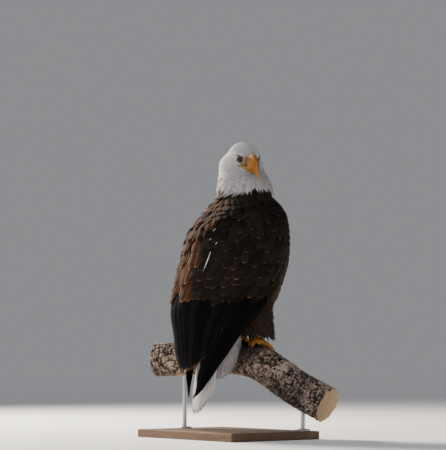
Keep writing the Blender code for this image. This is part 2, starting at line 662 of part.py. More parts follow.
# ---------------------------------------------------------------- display stand
FLOOR = -PERCH_HEIGHT
BASE_ROUND = 0.003
base = bpy.data.meshes.new("stand_base")
work = bmesh.new()
bmesh.ops.create_cube(work, size=1.0)
bmesh.ops.scale(work, vec=BASE_SIZE, verts=work.verts)
bmesh.ops.translate(work, vec=(*BASE_CENTRE, FLOOR + BASE_SIZE[2] / 2), verts=work.verts)
work.to_mesh(base)
work.free()
base_piece = add_piece("stand_base", base, "stand_wood")
edge = base_piece.modifiers.new("rounded_edge", "BEVEL")
edge.width = BASE_ROUND
edge.segments = 2


ROD_SIDES = 20
ROD_CHAMFER = 0.001
HOLE_CLEAR = 0.0004             # the hole in the branch is this much wider than the rod
HOLE_SPARE = 0.0005             # and this much deeper than its end
HOLE_LENGTH = 0.080             # long enough to leave the branch below


def rod(name, place):
    """Turned steel rod with a collar on the base; its top stands in a hole in the branch."""
    centre = along(PERCH_STOPS, PERCH_LINE, place)
    base_top = FLOOR + BASE_SIZE[2]
    top = centre[2] - PERCH_RADIUS + ROD_DEPTH
    collar, thick = ROD_FLANGE
    profile = ((0, top), (ROD_RADIUS - ROD_CHAMFER, top), (ROD_RADIUS, top - ROD_CHAMFER),
               (ROD_RADIUS, base_top + thick), (collar - ROD_CHAMFER, base_top + thick),
               (collar, base_top + thick - ROD_CHAMFER), (collar, base_top + GAP),
               (0, base_top + GAP))
    mesh = bpy.data.meshes.new(name)
    mesh.from_pydata([(r, 0, z) for r, z in profile],
                     [(i, i + 1) for i in range(len(profile) - 1)], [])
    piece = add_piece(name, mesh, "stand_steel")
    piece.location = (centre[0], centre[1], 0)
    turned = piece.modifiers.new("turned", "SCREW")
    turned.steps = turned.render_steps = ROD_SIDES
    turned.use_merge_vertices = True
    turned.merge_threshold = 0.0001
    hole = bpy.data.meshes.new(name + "_hole")
    work = bmesh.new()
    radius = ROD_RADIUS + HOLE_CLEAR
    bmesh.ops.create_cone(work, cap_ends=True, segments=ROD_SIDES, radius1=radius, radius2=radius,
                          depth=HOLE_LENGTH)
    middle = (centre[0], centre[1], top + HOLE_SPARE - HOLE_LENGTH / 2)
    bmesh.ops.translate(work, vec=middle, verts=work.verts)
    work.to_mesh(hole)
    work.free()
    subtract(perch, add_piece(name + "_hole", hole, None))


for name, place in zip(("stand_rod_left", "stand_rod_right"), ROD_PLACES):
    rod(name, place)

# The row's origin is on the floor under the middle of the whole model's box.
bpy.context.view_layer.update()
graph = bpy.context.evaluated_depsgraph_get()
corners = []
for piece in parts.objects:
    if piece.type == "MESH":
        shape = piece.evaluated_get(graph)
        corners += [shape.matrix_world @ Vector(corner) for corner in shape.bound_box]
corners = np.array(corners)
middle = (corners.min(axis=0) + corners.max(axis=0)) / 2
root.location = (-middle[0], -middle[1], PERCH_HEIGHT)
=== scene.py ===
"""Bald eagle at life size, looking back over its shoulder from a cut branch on a museum stand.

The bird's own axes are used throughout: +X the way the breast faces, +Y its left side, +Z up,
z = 0 at the top of the branch between the feet, metres. PLACE carries them to the floor's frame.
"""
import math

import bmesh
import bpy
import numpy as np
from mathutils import Matrix, Vector


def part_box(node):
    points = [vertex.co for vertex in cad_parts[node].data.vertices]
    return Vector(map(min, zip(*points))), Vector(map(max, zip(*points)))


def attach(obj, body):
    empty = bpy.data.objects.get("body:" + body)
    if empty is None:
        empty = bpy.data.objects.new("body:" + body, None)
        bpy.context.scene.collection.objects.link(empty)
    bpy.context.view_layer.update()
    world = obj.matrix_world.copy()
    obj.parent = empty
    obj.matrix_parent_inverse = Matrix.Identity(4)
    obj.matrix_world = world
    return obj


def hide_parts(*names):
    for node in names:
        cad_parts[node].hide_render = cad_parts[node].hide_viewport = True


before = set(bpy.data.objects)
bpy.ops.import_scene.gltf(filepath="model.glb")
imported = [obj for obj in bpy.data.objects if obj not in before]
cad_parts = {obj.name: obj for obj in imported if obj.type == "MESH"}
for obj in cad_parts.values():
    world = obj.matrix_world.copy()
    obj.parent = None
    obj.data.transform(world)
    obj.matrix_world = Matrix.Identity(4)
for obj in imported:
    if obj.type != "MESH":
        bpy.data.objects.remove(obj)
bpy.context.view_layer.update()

# ================================================================ place and camera
# The stand's wooden base shows where the bird's axes lie over the floor. The camera stands
# behind the bird's right shoulder, lower than its feet, and looks a little upwards.
PERCH_HEIGHT = 0.270
BASE_CENTRE = (-0.115, 0.013)
base_low, base_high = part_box("stand_base")
base_middle = (base_low + base_high) / 2
PLACE = np.array((base_middle[0] - BASE_CENTRE[0], base_middle[1] - BASE_CENTRE[1], PERCH_HEIGHT))

CAMERA_TURN = math.radians(-38)
CAMERA_RISE = math.radians(-6)
CAMERA_AWAY = 4.0
AIM_ASIDE = -0.109
AIM_UP = 0.318
CAMERA_LENS = 114.3

behind = np.array((math.sin(CAMERA_TURN) * math.cos(CAMERA_RISE),
                   -math.cos(CAMERA_TURN) * math.cos(CAMERA_RISE), math.sin(CAMERA_RISE)))
aside = np.array((math.cos(CAMERA_TURN), math.sin(CAMERA_TURN), 0.0))
aim = PLACE + aside * AIM_ASIDE + np.array((0.0, 0.0, AIM_UP))
camera = bpy.data.objects.new("camera", bpy.data.cameras.new("camera"))
camera.data.lens = CAMERA_LENS
camera.location = aim + behind * CAMERA_AWAY
camera.rotation_euler = Vector(-behind).to_track_quat("-Z", "Y").to_euler()
bpy.context.scene.collection.objects.link(camera)
bpy.context.scene.camera = camera

# ================================================================ studio
# A plain pale floor under a pale even room, one large soft lamp high off the bird's left side for
# the bright edge on its crown and mantle, and a weaker broad one behind its back, to the camera's
# left.
FLOOR_RADIUS = 40.0
FLOOR_SIDES = 96
FLOOR_FADE = (2.0, 14.0)        # distances between which the floor's paint turns to its far colour
FLOOR_COLOUR = (0.90, 0.90, 0.90, 1.0)
FAR_COLOUR = (0.98, 0.98, 0.98, 1.0)
ROOM_COLOUR = (0.80, 0.82, 0.86, 1.0)
ROOM_LIGHT = 0.34


def full_turn(sides, start=0.0):
    """Directions shared out evenly round a circle."""
    return np.linspace(start, start + 2 * math.pi, sides + 1)[:-1]


def points_at(x, y, z):
    """Points of three arrays of coordinates, widened to one shape."""
    return np.stack(np.broadcast_arrays(x, y, z), -1)


def plain_material(name, colour, roughness, **inputs):
    """New Principled material, with further sockets of its shader by name; also returns its tree."""
    material = bpy.data.materials.new(name)
    material.use_nodes = True
    tree = material.node_tree
    for socket, value in {"Base Color": colour, "Roughness": roughness, **inputs}.items():
        tree.nodes["Principled BSDF"].inputs[socket.replace("_", " ")].default_value = value
    return material, tree


def add_node(tree, kind, settings=None, **inputs):
    """New shader node with its settings, and with input sockets set or linked by name."""
    node = tree.nodes.new(kind)
    for key, value in (settings or {}).items():
        setattr(node, key, value)
    for key, value in inputs.items():
        socket = node.inputs[int(key[1:])] if key[1:].isdigit() else node.inputs[key.replace("_", " ")]
        if isinstance(value, bpy.types.NodeSocket):
            tree.links.new(value, socket)
        else:
            socket.default_value = value
    return node


def ramp(tree, factor, stops):
    """Colour ramp through (place, colour) stops."""
    node = add_node(tree, "ShaderNodeValToRGB", Fac=factor)
    elements = node.color_ramp.elements
    while len(elements) < len(stops):
        elements.new(0.5)
    for element, (place, colour) in zip(elements, stops):
        element.position = place
        element.color = colour
    return node.outputs["Color"]


def step_node(tree, value, low, high, shape="LINEAR"):
    """0 at low and 1 at high, with a straight or smooth step between."""
    return add_node(tree, "ShaderNodeMapRange", {"interpolation_type": shape},
                    Value=value, From_Min=low, From_Max=high).outputs[0]


def wire(tree, output, socket="Base Color"):
    """Link an output to a socket of the material's shader."""
    tree.links.new(output, tree.nodes["Principled BSDF"].inputs[socket])


floor_turn = full_turn(FLOOR_SIDES)
floor_points = points_at(FLOOR_RADIUS * np.cos(floor_turn), FLOOR_RADIUS * np.sin(floor_turn), 0.0)
floor_mesh = bpy.data.meshes.new("floor")
floor_mesh.from_pydata(floor_points.tolist(), [], [list(range(FLOOR_SIDES))])
floor = bpy.data.objects.new("floor", floor_mesh)
floor_paint, tree = plain_material("floor_paint", FLOOR_COLOUR, 0.9, Specular_IOR_Level=0.2)
where = add_node(tree, "ShaderNodeTexCoord").outputs["Object"]
far = add_node(tree, "ShaderNodeVectorMath", {"operation": "LENGTH"}, _0=where).outputs["Value"]
wire(tree, ramp(tree, step_node(tree, far, *FLOOR_FADE), ((0.0, FLOOR_COLOUR), (1.0, FAR_COLOUR))))
floor_mesh.materials.append(floor_paint)
bpy.context.scene.collection.objects.link(floor)

world = bpy.data.worlds.new("room")
world.use_nodes = True
world.node_tree.nodes["Background"].inputs["Color"].default_value = ROOM_COLOUR
world.node_tree.nodes["Background"].inputs["Strength"].default_value = ROOM_LIGHT
bpy.context.scene.world = world


def soft_lamp(name, place, target, size, watts, colour):
    """Square area lamp of a given width at a place in the bird's axes, facing a target."""
    lamp = bpy.data.lights.new(name, "AREA")
    lamp.size = size
    lamp.energy = watts
    lamp.color = colour
    piece = bpy.data.objects.new(name, lamp)
    piece.location = PLACE + np.array(place)
    facing = Vector(np.array(target) - np.array(place))
    piece.rotation_euler = facing.to_track_quat("-Z", "Y").to_euler()
    bpy.context.scene.collection.objects.link(piece)


soft_lamp("window_behind", (-0.45, 2.60, 2.0), (-0.08, 0, 0.25), 1.1, 330, (1.0, 0.90, 0.78))
soft_lamp("window_front", (-2.9, -0.6, 1.5), (-0.08, 0, 0.25), 1.6, 38, (0.97, 0.98, 1.0))

# ================================================================ skin
# One skin runs over the trunk, the folded arms, neck, head and thighs. It lies inside the solids
# by the coat's depth, and carries the coat's own white and brown.
TRUNK_Z = (0.030, 0.060, 0.100, 0.150, 0.200, 0.250, 0.300, 0.344, 0.392)
TRUNK_X = (-0.125, -0.105, -0.088, -0.078, -0.070, -0.066, -0.062, -0.061, -0.060)
TRUNK_FRONT = (0.060, 0.100, 0.118, 0.127, 0.134, 0.138, 0.133, 0.124, 0.092)
TRUNK_BACK = (0.087, 0.092, 0.112, 0.128, 0.142, 0.150, 0.148, 0.118, 0.070)
TRUNK_HALF = (0.036, 0.052, 0.070, 0.090, 0.102, 0.104, 0.102, 0.095, 0.066)
TRUNK_FILL = 0.92

WING_Z = (-0.167, -0.146, -0.100, -0.045, 0.000, 0.070, 0.130, 0.213, 0.300, 0.344, 0.392)
WING_X = (-0.254, -0.241, -0.222, -0.184, -0.155, -0.125, -0.108, -0.085, -0.070, -0.066, -0.060)
WING_FRONT = (0.05, 0.05, 0.08, 0.11, 0.14, 0.14, 0.14, 0.137, 0.127, 0.121, 0.092)
WING_BACK = (0.004, 0.018, 0.046, 0.101, 0.134, 0.174, 0.177, 0.175, 0.154, 0.113, 0.076)
WING_HALF = (0.015, 0.031, 0.050, 0.072, 0.086, 0.101, 0.110, 0.115, 0.113, 0.106, 0.077)
LEADING_EDGE = (90, 90, 90, 90, 90, 75, 60, 44, 40, 50, 72)
WING_FILL = 0.88
SEAM = 0.0012

HEAD_CENTRE = (-0.075, -0.010, 0.5025)
HEAD_TURN = math.radians(-103)
HEAD_DIP = math.radians(24)
HEAD_ROLL = math.radians(4)
HEAD_BASE = 0.4705
FACE_FRONT = 0.0560
HEART = np.array((-0.070, -0.006, HEAD_BASE))
HEAD_MASSES = (
    ((0.002, 0.0, 0.001), (0.044, 0.0405, 0.0395)),     # crown and back of the skull
    ((0.030, 0.0, 0.003), (0.034, 0.0300, 0.0250)),      # forehead and brows
    ((0.036, 0.0, -0.010), (0.030, 0.0235, 0.0200)),     # lores and chin
    ((-0.004, 0.0, -0.032), (0.057, 0.0625, 0.0455)),    # cheeks and nape
)
HEAD_BLEND = 0.10
RISE_LENGTH = 0.060             # metres of crown for each radian of rise above the head's base

EYE_MIDDLE = (0.0395, 0.0045)   # middle of the opening between the lids, forward and up
SKIN_DEPTH = 0.0085             # the coat's depth on the body
FACE_DEPTH = 0.0025             # and on the face

head_matrix = (Matrix.Translation(HEAD_CENTRE) @ Matrix.Rotation(HEAD_TURN, 4, "Z")
               @ Matrix.Rotation(HEAD_DIP, 4, "Y") @ Matrix.Rotation(HEAD_ROLL, 4, "X"))
HEAD_AXES = np.array(head_matrix)[:3, :3]


def along(stations, values, t):
    """Smooth curve through values at rising stations: cubic, its slopes taken from the neighbours."""
    stations, values, t = (np.asarray(a, float) for a in (stations, values, t))
    slopes = np.gradient(values, stations, axis=0)
    i = np.clip(np.searchsorted(stations, t) - 1, 0, len(stations) - 2)
    width = stations[i + 1] - stations[i]
    f = np.clip((t - stations[i]) / width, 0, 1)
    if values.ndim > 1:
        f, width = f[..., None], width[..., None]
    return (values[i] * (1 + 2 * f) * (1 - f) ** 2 + values[i + 1] * f * f * (3 - 2 * f)
            + width * (slopes[i] * f * (1 - f) ** 2 + slopes[i + 1] * f * f * (f - 1)))


def smooth_step(low, high, value):
    """0 below low, 1 above high, and the cubic 3t^2 - 2t^3 between."""
    t = np.clip((value - low) / (high - low), 0, 1)
    return t * t * (3 - 2 * t)


def unit(vectors):
    """The same directions with length one."""
    return vectors / np.linalg.norm(vectors, axis=-1)[..., None]


def fuller(wave, power):
    """A sine or cosine with its shoulders filled out by a power below 1, and its sign kept."""
    return np.sign(wave) * np.abs(wave) ** power


def to_head(points):
    """Bird axes to the head's own: forward, left, up from its middle."""
    return (points - np.array(HEAD_CENTRE)) @ HEAD_AXES


def from_head(points):
    """The head's own axes to the bird's."""
    return np.asarray(points, float) @ HEAD_AXES.T + np.array(HEAD_CENTRE)


def trunk_surface(turn, z, height):
    """Ovals stacked by height: middle, reach and half width are curves of z; turn starts ahead."""
    c, s = np.cos(turn), np.sin(turn)
    reach = np.where(c > 0, along(TRUNK_Z, TRUNK_FRONT, z), along(TRUNK_Z, TRUNK_BACK, z)) + height
    half = along(TRUNK_Z, TRUNK_HALF, z) + height
    x = along(TRUNK_Z, TRUNK_X, z) + reach * fuller(c, TRUNK_FILL)
    return points_at(x, half * fuller(s, TRUNK_FILL), z)


def wing_surface(sign):
    """Surface of one folded wing: s from leading edge (0) to the back's middle (1), and height z.

    The point lies on an oval round the body at that height, moved out along the oval's slope.
    """
    def surface(s, z, height):
        reach_ahead, reach_back = along(WING_Z, WING_FRONT, z), along(WING_Z, WING_BACK, z)
        half = along(WING_Z, WING_HALF, z)
        start = np.radians(along(WING_Z, LEADING_EDGE, z))
        turn = start + s * (math.pi - start)
        c, n = np.cos(turn), np.sin(turn)
        reach = np.where(c > 0, reach_ahead, reach_back)
        slope = unit(np.stack([c / reach, n / half], -1))
        x = along(WING_Z, WING_X, z) + reach * fuller(c, WING_FILL)
        y = half * fuller(n, WING_FILL) + SEAM
        return points_at(x + height * slope[..., 0], sign * (y + height * slope[..., 1]), z)
    return surface


def head_level(points):
    """Below 1 inside the head: rounded masses joined by a smooth minimum, cut flat at the cere."""
    local = to_head(points)
    total = 0
    for centre, radii in HEAD_MASSES:
        total = total + np.exp(-np.linalg.norm((local - centre) / radii, axis=-1) / HEAD_BLEND)
    return np.maximum(-HEAD_BLEND * np.log(total), 1 + (local[..., 0] - FACE_FRONT) / 0.05)


# Distance from the axis of the neck, or from the middle of the head's base, to the surface: a
# table by direction (turn) and by place (metres below the head's base, or rise above it).
NECK_Z = (0.352, 0.375, 0.3923, 0.410, 0.432, 0.454)
NECK_X = (-0.063, -0.061, -0.060, -0.060, -0.060, -0.061)
NECK_DEEP = (0.122, 0.105, 0.083, 0.081, 0.079, 0.076)
NECK_HALF = (0.106, 0.093, 0.071, 0.071, 0.069, 0.066)
NECK_TO_HEAD = (0.0, 0.0, 0.0, 0.0, 0.15, 0.55)
TURNS = np.linspace(-math.pi, math.pi, 361)
RISES = np.radians(np.linspace(0, 89.5, 90))
HEAD_LIMIT = 0.2                # metres from the heart of the head, beyond all of its surface
HALVINGS = 30


def last_inside(is_inside, shape, limit):
    """Distances at which a test stops being true, found by halving from 0 to limit."""
    near, far = np.zeros(shape), np.full(shape, limit)
    for _ in range(HALVINGS):
        middle = (near + far) / 2
        inside = is_inside(middle)
        near, far = np.where(inside, middle, near), np.where(inside, far, middle)
    return near


def ray_to(turn, rise):
    """Unit vectors by direction and by rise above level."""
    return points_at(np.cos(rise) * np.cos(turn), np.cos(rise) * np.sin(turn), np.sin(rise))


def head_reach(turn, rise):
    """Distance from the heart of the head to its surface."""
    ray = ray_to(turn, rise)
    return last_inside(lambda reach: head_level(HEART + ray * reach[..., None]) < 1,
                       turn.shape, HEAD_LIMIT)


head_table = head_reach(*np.broadcast_arrays(TURNS[:, None], RISES[None]))
neck_rows = []
for middle_x, deep, half, blend in zip(NECK_X, NECK_DEEP, NECK_HALF, NECK_TO_HEAD):
    ring = np.array((middle_x, 0)) + np.column_stack([deep * np.cos(TURNS), half * np.sin(TURNS)])
    offset = ring[:-1] - HEART[:2]
    ring_turn = np.arctan2(offset[:, 1], offset[:, 0])
    reach = np.interp(TURNS, ring_turn, np.hypot(*offset.T), period=2 * math.pi)
    neck_rows.append(reach * (1 - blend) + head_table[:, 0] * blend)
NECK_LEVELS = np.array(NECK_Z) - HEAD_BASE
CROWN_LEVELS = np.concatenate([NECK_LEVELS, RISES * RISE_LENGTH])
crown_table = np.concatenate([np.column_stack(neck_rows), head_table], axis=1)


def face_relief(points):
    """Brow ridge over each eye, and the hollows of the eye and lores, added to the smooth head."""
    local = to_head(points)
    x, y, z = local[..., 0], np.abs(local[..., 1]), local[..., 2]
    side = smooth_step(0.012, 0.020, y)
    brow_z = 0.0150 - 0.07 * (x - 0.030)
    brow = np.exp(-((z - brow_z) / np.where(z < brow_z, 0.0026, 0.0080)) ** 2)
    brow = brow * smooth_step(0.004, 0.024, x)
    brow = brow * (1 - smooth_step(0.050, 0.058, x))
    eye = np.hypot((x - EYE_MIDDLE[0]) / 0.013, (z - EYE_MIDDLE[1] + 0.001) / 0.0105)
    lores = np.hypot((x - 0.0505) / 0.009, (z + 0.001) / 0.0095)
    return side * (0.0040 * brow - 0.0022 * np.exp(-eye ** 4) - 0.0018 * np.exp(-lores ** 2))


def crown_surface(turn, level, height):
    """Head and neck by direction and level: the distance table read with a bilinear blend."""
    turn, level = np.broadcast_arrays(turn, level)
    a = (turn / (2 * math.pi) + 0.5) % 1.0 * (len(TURNS) - 1)
    i = np.clip(a.astype(int), 0, len(TURNS) - 2)
    j = np.clip(np.searchsorted(CROWN_LEVELS, level) - 1, 0, len(CROWN_LEVELS) - 2)
    f = a - i
    g = np.clip((level - CROWN_LEVELS[j]) / (CROWN_LEVELS[j + 1] - CROWN_LEVELS[j]), 0, 1)
    reach = ((crown_table[i, j] * (1 - f) + crown_table[i + 1, j] * f) * (1 - g)
             + (crown_table[i, j + 1] * (1 - f) + crown_table[i + 1, j + 1] * f) * g)
    rise = np.maximum(level, 0) / RISE_LENGTH
    ray = ray_to(turn, rise)
    smooth = HEART + points_at(0.0, 0.0, np.minimum(level, 0)) + ray * reach[..., None]
    return smooth + ray * (height + face_relief(smooth))[..., None]


def crown_place(points):
    """Direction and level on the head and neck of points near them."""
    x, y, z = np.moveaxis(points - HEART, -1, 0)
    rise = np.arctan2(z, np.hypot(x, y))
    return np.arctan2(y, x), np.where(z < 0, z, rise * RISE_LENGTH)


THIGH_TOP = 0.150
THIGH_X = -0.062
THIGH_Y = 0.046
HEM_SHIFT = -0.029
THIGH_DEEP = (0.052, 0.055, 0.050, 0.049)
THIGH_WIDE = (0.030, 0.031, 0.030, 0.029)
THIGH_STOPS = (0.0, 0.3, 0.65, 1.0)
PERCH_LINE = ((-0.170, 0.263, -0.058), (-0.113, 0.152, -0.050), (-0.056, 0.041, -0.050),
              (-0.031, -0.040, -0.072), (-0.003, -0.131, -0.128), (0.030, -0.236, -0.180))
PERCH_STOPS = np.linspace(0, 1, len(PERCH_LINE))
PERCH_RADIUS = 0.0475
# Each leg: sign of its side, places of foot and trouser hem along the branch, height of the hem.
LEGS = {"right": (-1, 0.514, 0.553, 0.0195), "left": (1, 0.385, 0.385, 0.0400)}


def perch_frame(t):
    """Centre, direction, upward and bird-forward unit vectors at places along the branch."""
    step = 0.002
    centre = along(PERCH_STOPS, PERCH_LINE, t)
    ahead = unit(along(PERCH_STOPS, PERCH_LINE, t + step) - along(PERCH_STOPS, PERCH_LINE, t - step))
    up = unit(np.array((0, 0, 1.0)) - ahead[..., 2:3] * ahead)
    front = np.cross(up, ahead)
    return centre, ahead, up, front * np.sign(front[..., :1])


def thigh_surface(name):
    """Leaning cone of level ovals from the flank to the trouser hem over one foot."""
    sign, _, place, hem = LEGS[name]
    centre, _, up, _ = perch_frame(np.array(place))
    toes = centre + PERCH_RADIUS * up

    def surface(turn, z, height):
        f = (THIGH_TOP - z) / (THIGH_TOP - hem)
        x = THIGH_X + (toes[0] + HEM_SHIFT - THIGH_X) * f
        y = sign * THIGH_Y + (toes[1] - sign * THIGH_Y) * f
        deep = along(THIGH_STOPS, THIGH_DEEP, f) + height
        wide = along(THIGH_STOPS, THIGH_WIDE, f) + height
        return points_at(x + deep * np.cos(turn), y + wide * np.sin(turn) * sign, z)
    return surface


def put_mesh(name, points, quads, outward=False):
    """New object of these points, in the bird's axes, moved to its place, with smooth faces."""
    mesh = bpy.data.meshes.new(name)
    points = np.asarray(points, float).reshape(-1, 3) + PLACE
    quads = np.asarray(quads, np.int32)
    mesh.vertices.add(len(points))
    mesh.vertices.foreach_set("co", points.astype(np.float32).ravel())
    mesh.loops.add(quads.size)
    mesh.loops.foreach_set("vertex_index", quads.ravel())
    mesh.polygons.add(len(quads))
    mesh.polygons.foreach_set("loop_start", np.arange(0, quads.size, quads.shape[1], dtype=np.int32))
    mesh.update(calc_edges=True)
    mesh.validate()
    if outward:
        work = bmesh.new()
        work.from_mesh(mesh)
        bmesh.ops.remove_doubles(work, verts=work.verts, dist=1e-6)
        bmesh.ops.recalc_face_normals(work, faces=work.faces)
        if work.calc_volume(signed=True) < 0:
            bmesh.ops.reverse_faces(work, faces=work.faces)
        work.to_mesh(mesh)
        work.free()
    mesh.polygons.foreach_set("use_smooth", np.ones(len(mesh.polygons), bool))
    piece = bpy.data.objects.new(name, mesh)
    bpy.context.scene.collection.objects.link(piece)
    return piece


def closed_tube(rings):
    """Points and quads of rings one above another, with a fan of thin quads closing each end.

    Each ring has the same even number of points. The middles of the first and last one follow.
    """
    rings = np.asarray(rings, float)
    rows, sides = rings.shape[:2]
    points = np.concatenate([rings.reshape(-1, 3), rings[:1].mean(1), rings[-1:].mean(1)])
    r, k = np.meshgrid(np.arange(rows - 1), np.arange(sides), indexing="ij")
    n = (k + 1) % sides
    wall = np.stack([r * sides + k, r * sides + n, (r + 1) * sides + n, (r + 1) * sides + k], -1)
    k = np.arange(0, sides, 2)
    low, high = rows * sides, rows * sides + 1
    first = np.stack([np.full(k.shape, low), (k + 2) % sides, k + 1, k], -1)
    top = (rows - 1) * sides
    last = np.stack([np.full(k.shape, high), top + k, top + k + 1, top + (k + 2) % sides], -1)
    return points, np.concatenate([wall.reshape(-1, 4), first, last])


def joined(parts):
    """Several (points, quads) pairs as one."""
    points, quads, start = [], [], 0
    for part_points, part_quads in parts:
        points.append(part_points)
        quads.append(part_quads + start)
        start += len(part_points)
    return np.concatenate(points), np.concatenate(quads)


SKIN_SIDES = 240
TRUNK_ROWS = 70
NECK_ROWS = 24
FACE_ROWS = 96
THIGH_SIDES = 48
THIGH_ROWS = 24
ARM_STEPS = 40
TRUNK_TOP = 0.378
NECK_FOOT = 0.386
ARM_LOW, ARM_TOP = 0.150, 0.380
NECK_DEPTH = 0.0060
NAPE_DEPTH = 0.0035             # added to the face's depth at the head's base
NAPE_FADE = 0.008               # and the height over which it fades
LIMB_DEPTH = 0.0070
ARM_INSIDE = 0.0110
skin_turn = full_turn(SKIN_SIDES, -math.pi)
trunk_heights = np.linspace(TRUNK_Z[0] + 0.004, TRUNK_TOP, TRUNK_ROWS)
body_rings = [trunk_surface(skin_turn, z, -SKIN_DEPTH) for z in trunk_heights]
for level in np.linspace(NECK_FOOT - HEAD_BASE, -0.002, NECK_ROWS):
    body_rings.append(crown_surface(skin_turn, level, -NECK_DEPTH))
for level in np.linspace(0, math.radians(89) * RISE_LENGTH, FACE_ROWS):
    depth = FACE_DEPTH + NAPE_DEPTH * math.exp(-level / NAPE_FADE)
    body_rings.append(crown_surface(skin_turn, level, -depth))
skin_parts = [closed_tube(body_rings)]
thigh_turn = full_turn(THIGH_SIDES)
for name, (_, _, _, hem) in LEGS.items():
    thigh, thigh_heights = thigh_surface(name), np.linspace(THIGH_TOP, hem + 0.004, THIGH_ROWS)
    skin_parts.append(closed_tube([thigh(thigh_turn, z, -LIMB_DEPTH) for z in thigh_heights]))
arm_s = np.linspace(0.04, 0.985, ARM_STEPS)
for sign in (-1, 1):
    arm = wing_surface(sign)
    skin_parts.append(closed_tube([
        np.concatenate([arm(arm_s, np.full(ARM_STEPS, z), -LIMB_DEPTH),
                        arm(arm_s[::-1], np.full(ARM_STEPS, z), -ARM_INSIDE)])
        for z in np.linspace(ARM_LOW, ARM_TOP, ARM_STEPS)]))
skin = put_mesh("skin", *joined(skin_parts), outward=True)
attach(skin, "root")
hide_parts("trunk", "neck", "head", "thigh_left", "thigh_right")

WHITE = (0.64, 0.615, 0.62, 1.0)
BROWN = (0.036, 0.024, 0.017, 1.0)


def blend_colour(tree, factor, first, second, way="MIX"):
    """Mix node of two colours."""
    return add_node(tree, "ShaderNodeMix", {"data_type": "RGBA", "blend_type": way},
                    _0=factor, _6=first, _7=second).outputs[2]


def sums(tree, way, first, second=0.0, third=0.0):
    """Math node."""
    node = add_node(tree, "ShaderNodeMath", {"operation": way}, _0=first, _1=second, _2=third)
    return node.outputs[0]


def noise(tree, scale, detail=2.0, stretch=None, **inputs):
    """Cloudy noise over a piece's own axes, first stretched along them where that is given."""
    where = add_node(tree, "ShaderNodeTexCoord").outputs["Object"]
    if stretch:
        where = add_node(tree, "ShaderNodeMapping", Vector=where, Scale=stretch).outputs["Vector"]
    node = add_node(tree, "ShaderNodeTexNoise", Vector=where, Scale=scale, Detail=detail, **inputs)
    return node.outputs["Fac"]


def number_at(tree, name):
    """The number that the mesh holds under a name at each point."""
    return add_node(tree, "ShaderNodeAttribute", {"attribute_name": name}).outputs["Fac"]


def roughen(tree, strength, distance, height):
    """Bump of the shader's normal by a height."""
    bump = add_node(tree, "ShaderNodeBump", Strength=strength, Distance=distance, Height=height)
    wire(tree, bump.outputs["Normal"], "Normal")


# The skin is white above the ragged lower edge of the hackles, brown below, and olive where bare.
skin_finish, tree = plain_material("skin_finish", BROWN, 0.8)
is_white = sums(tree, "MULTIPLY_ADD", noise(tree, 90.0), 0.4, number_at(tree, "white"))
plumed = blend_colour(tree, sums(tree, "GREATER_THAN", is_white, 0.7), BROWN, WHITE)
pores = noise(tree, 380.0, 3.0)
bare_tone = blend_colour(tree, pores, (0.075, 0.058, 0.032, 1.0), (0.26, 0.20, 0.105, 1.0))
wire(tree, blend_colour(tree, number_at(tree, "bare"), plumed, bare_tone))
roughen(tree, 0.4, 0.0004, pores)
skin.data.materials.append(skin_finish)

# ================================================================ feathers of the head
# Short dense white feathers over skull, cheeks and throat. Each is a thin horny vane on a shaft,
# rooted in the skin; they lie back from the bill, over the crown and down to the neck.


def vane_shell(rows, columns):
    """One feather as a closed thin shell: a grid above, and one line of points under the shaft.

    Returns how far along (0 to 1) and across (-1 to 1) each point is, which lie under, and quads.
    """
    across = np.append(np.linspace(-1, 1, columns + 1), 0.0)
    under = np.append(np.zeros(columns + 1), 1.0)
    loop = columns + 2
    a = np.repeat(np.linspace(0, 1, rows + 1), loop)
    r, k = np.meshgrid(np.arange(rows), np.arange(loop), indexing="ij")
    n = (k + 1) % loop
    wall = np.stack([r * loop + k, (r + 1) * loop + k, (r + 1) * loop + n, r * loop + n], -1)
    j = np.arange(0, columns, 2)
    root = np.stack([j + 1, j + 2, np.full(j.shape, loop - 1), j], -1)
    tip = root[:, [0, 3, 2, 1]] + rows * loop
    quads = np.concatenate([wall.reshape(-1, 4), root, tip])
    return a, np.tile(across, rows + 1), np.tile(under, rows + 1), quads


# Outlines of vanes. Each: how far the edges stop short of the tip, with the powers of across and
# along that this follows; the width of the root; how far along the vane reaches its full width; and
# how far it narrows again at the tip, with the power of along that this follows.
ROUND_VANE = (0.22, 2.2, 2, 0.45, 0.50, 0.20, 6)
POINTED_VANE = (0.20, 1.3, 2, 0.40, 0.45, 0.86, 3)
LEAF_VANE = (0.18, 2.0, 3, 0.35, 0.60, 0.28, 8)
QUILL_VANE = (0.11, 2.2, 4, 0.30, 0.13, 0.45, 14)


def vane_outline(a, b, short, across_power, along_power, root, full, narrow, narrow_power):
    """Places ahead and across on a flat vane of length and half width 1, from a along and b across."""
    ahead = a * (1 - short * np.abs(b) ** across_power * a ** along_power)
    widening = root + (1 - root) * np.sin(np.minimum(a / full, 1) * math.pi / 2)
    return ahead, b * widening * (1 - narrow * a ** narrow_power)


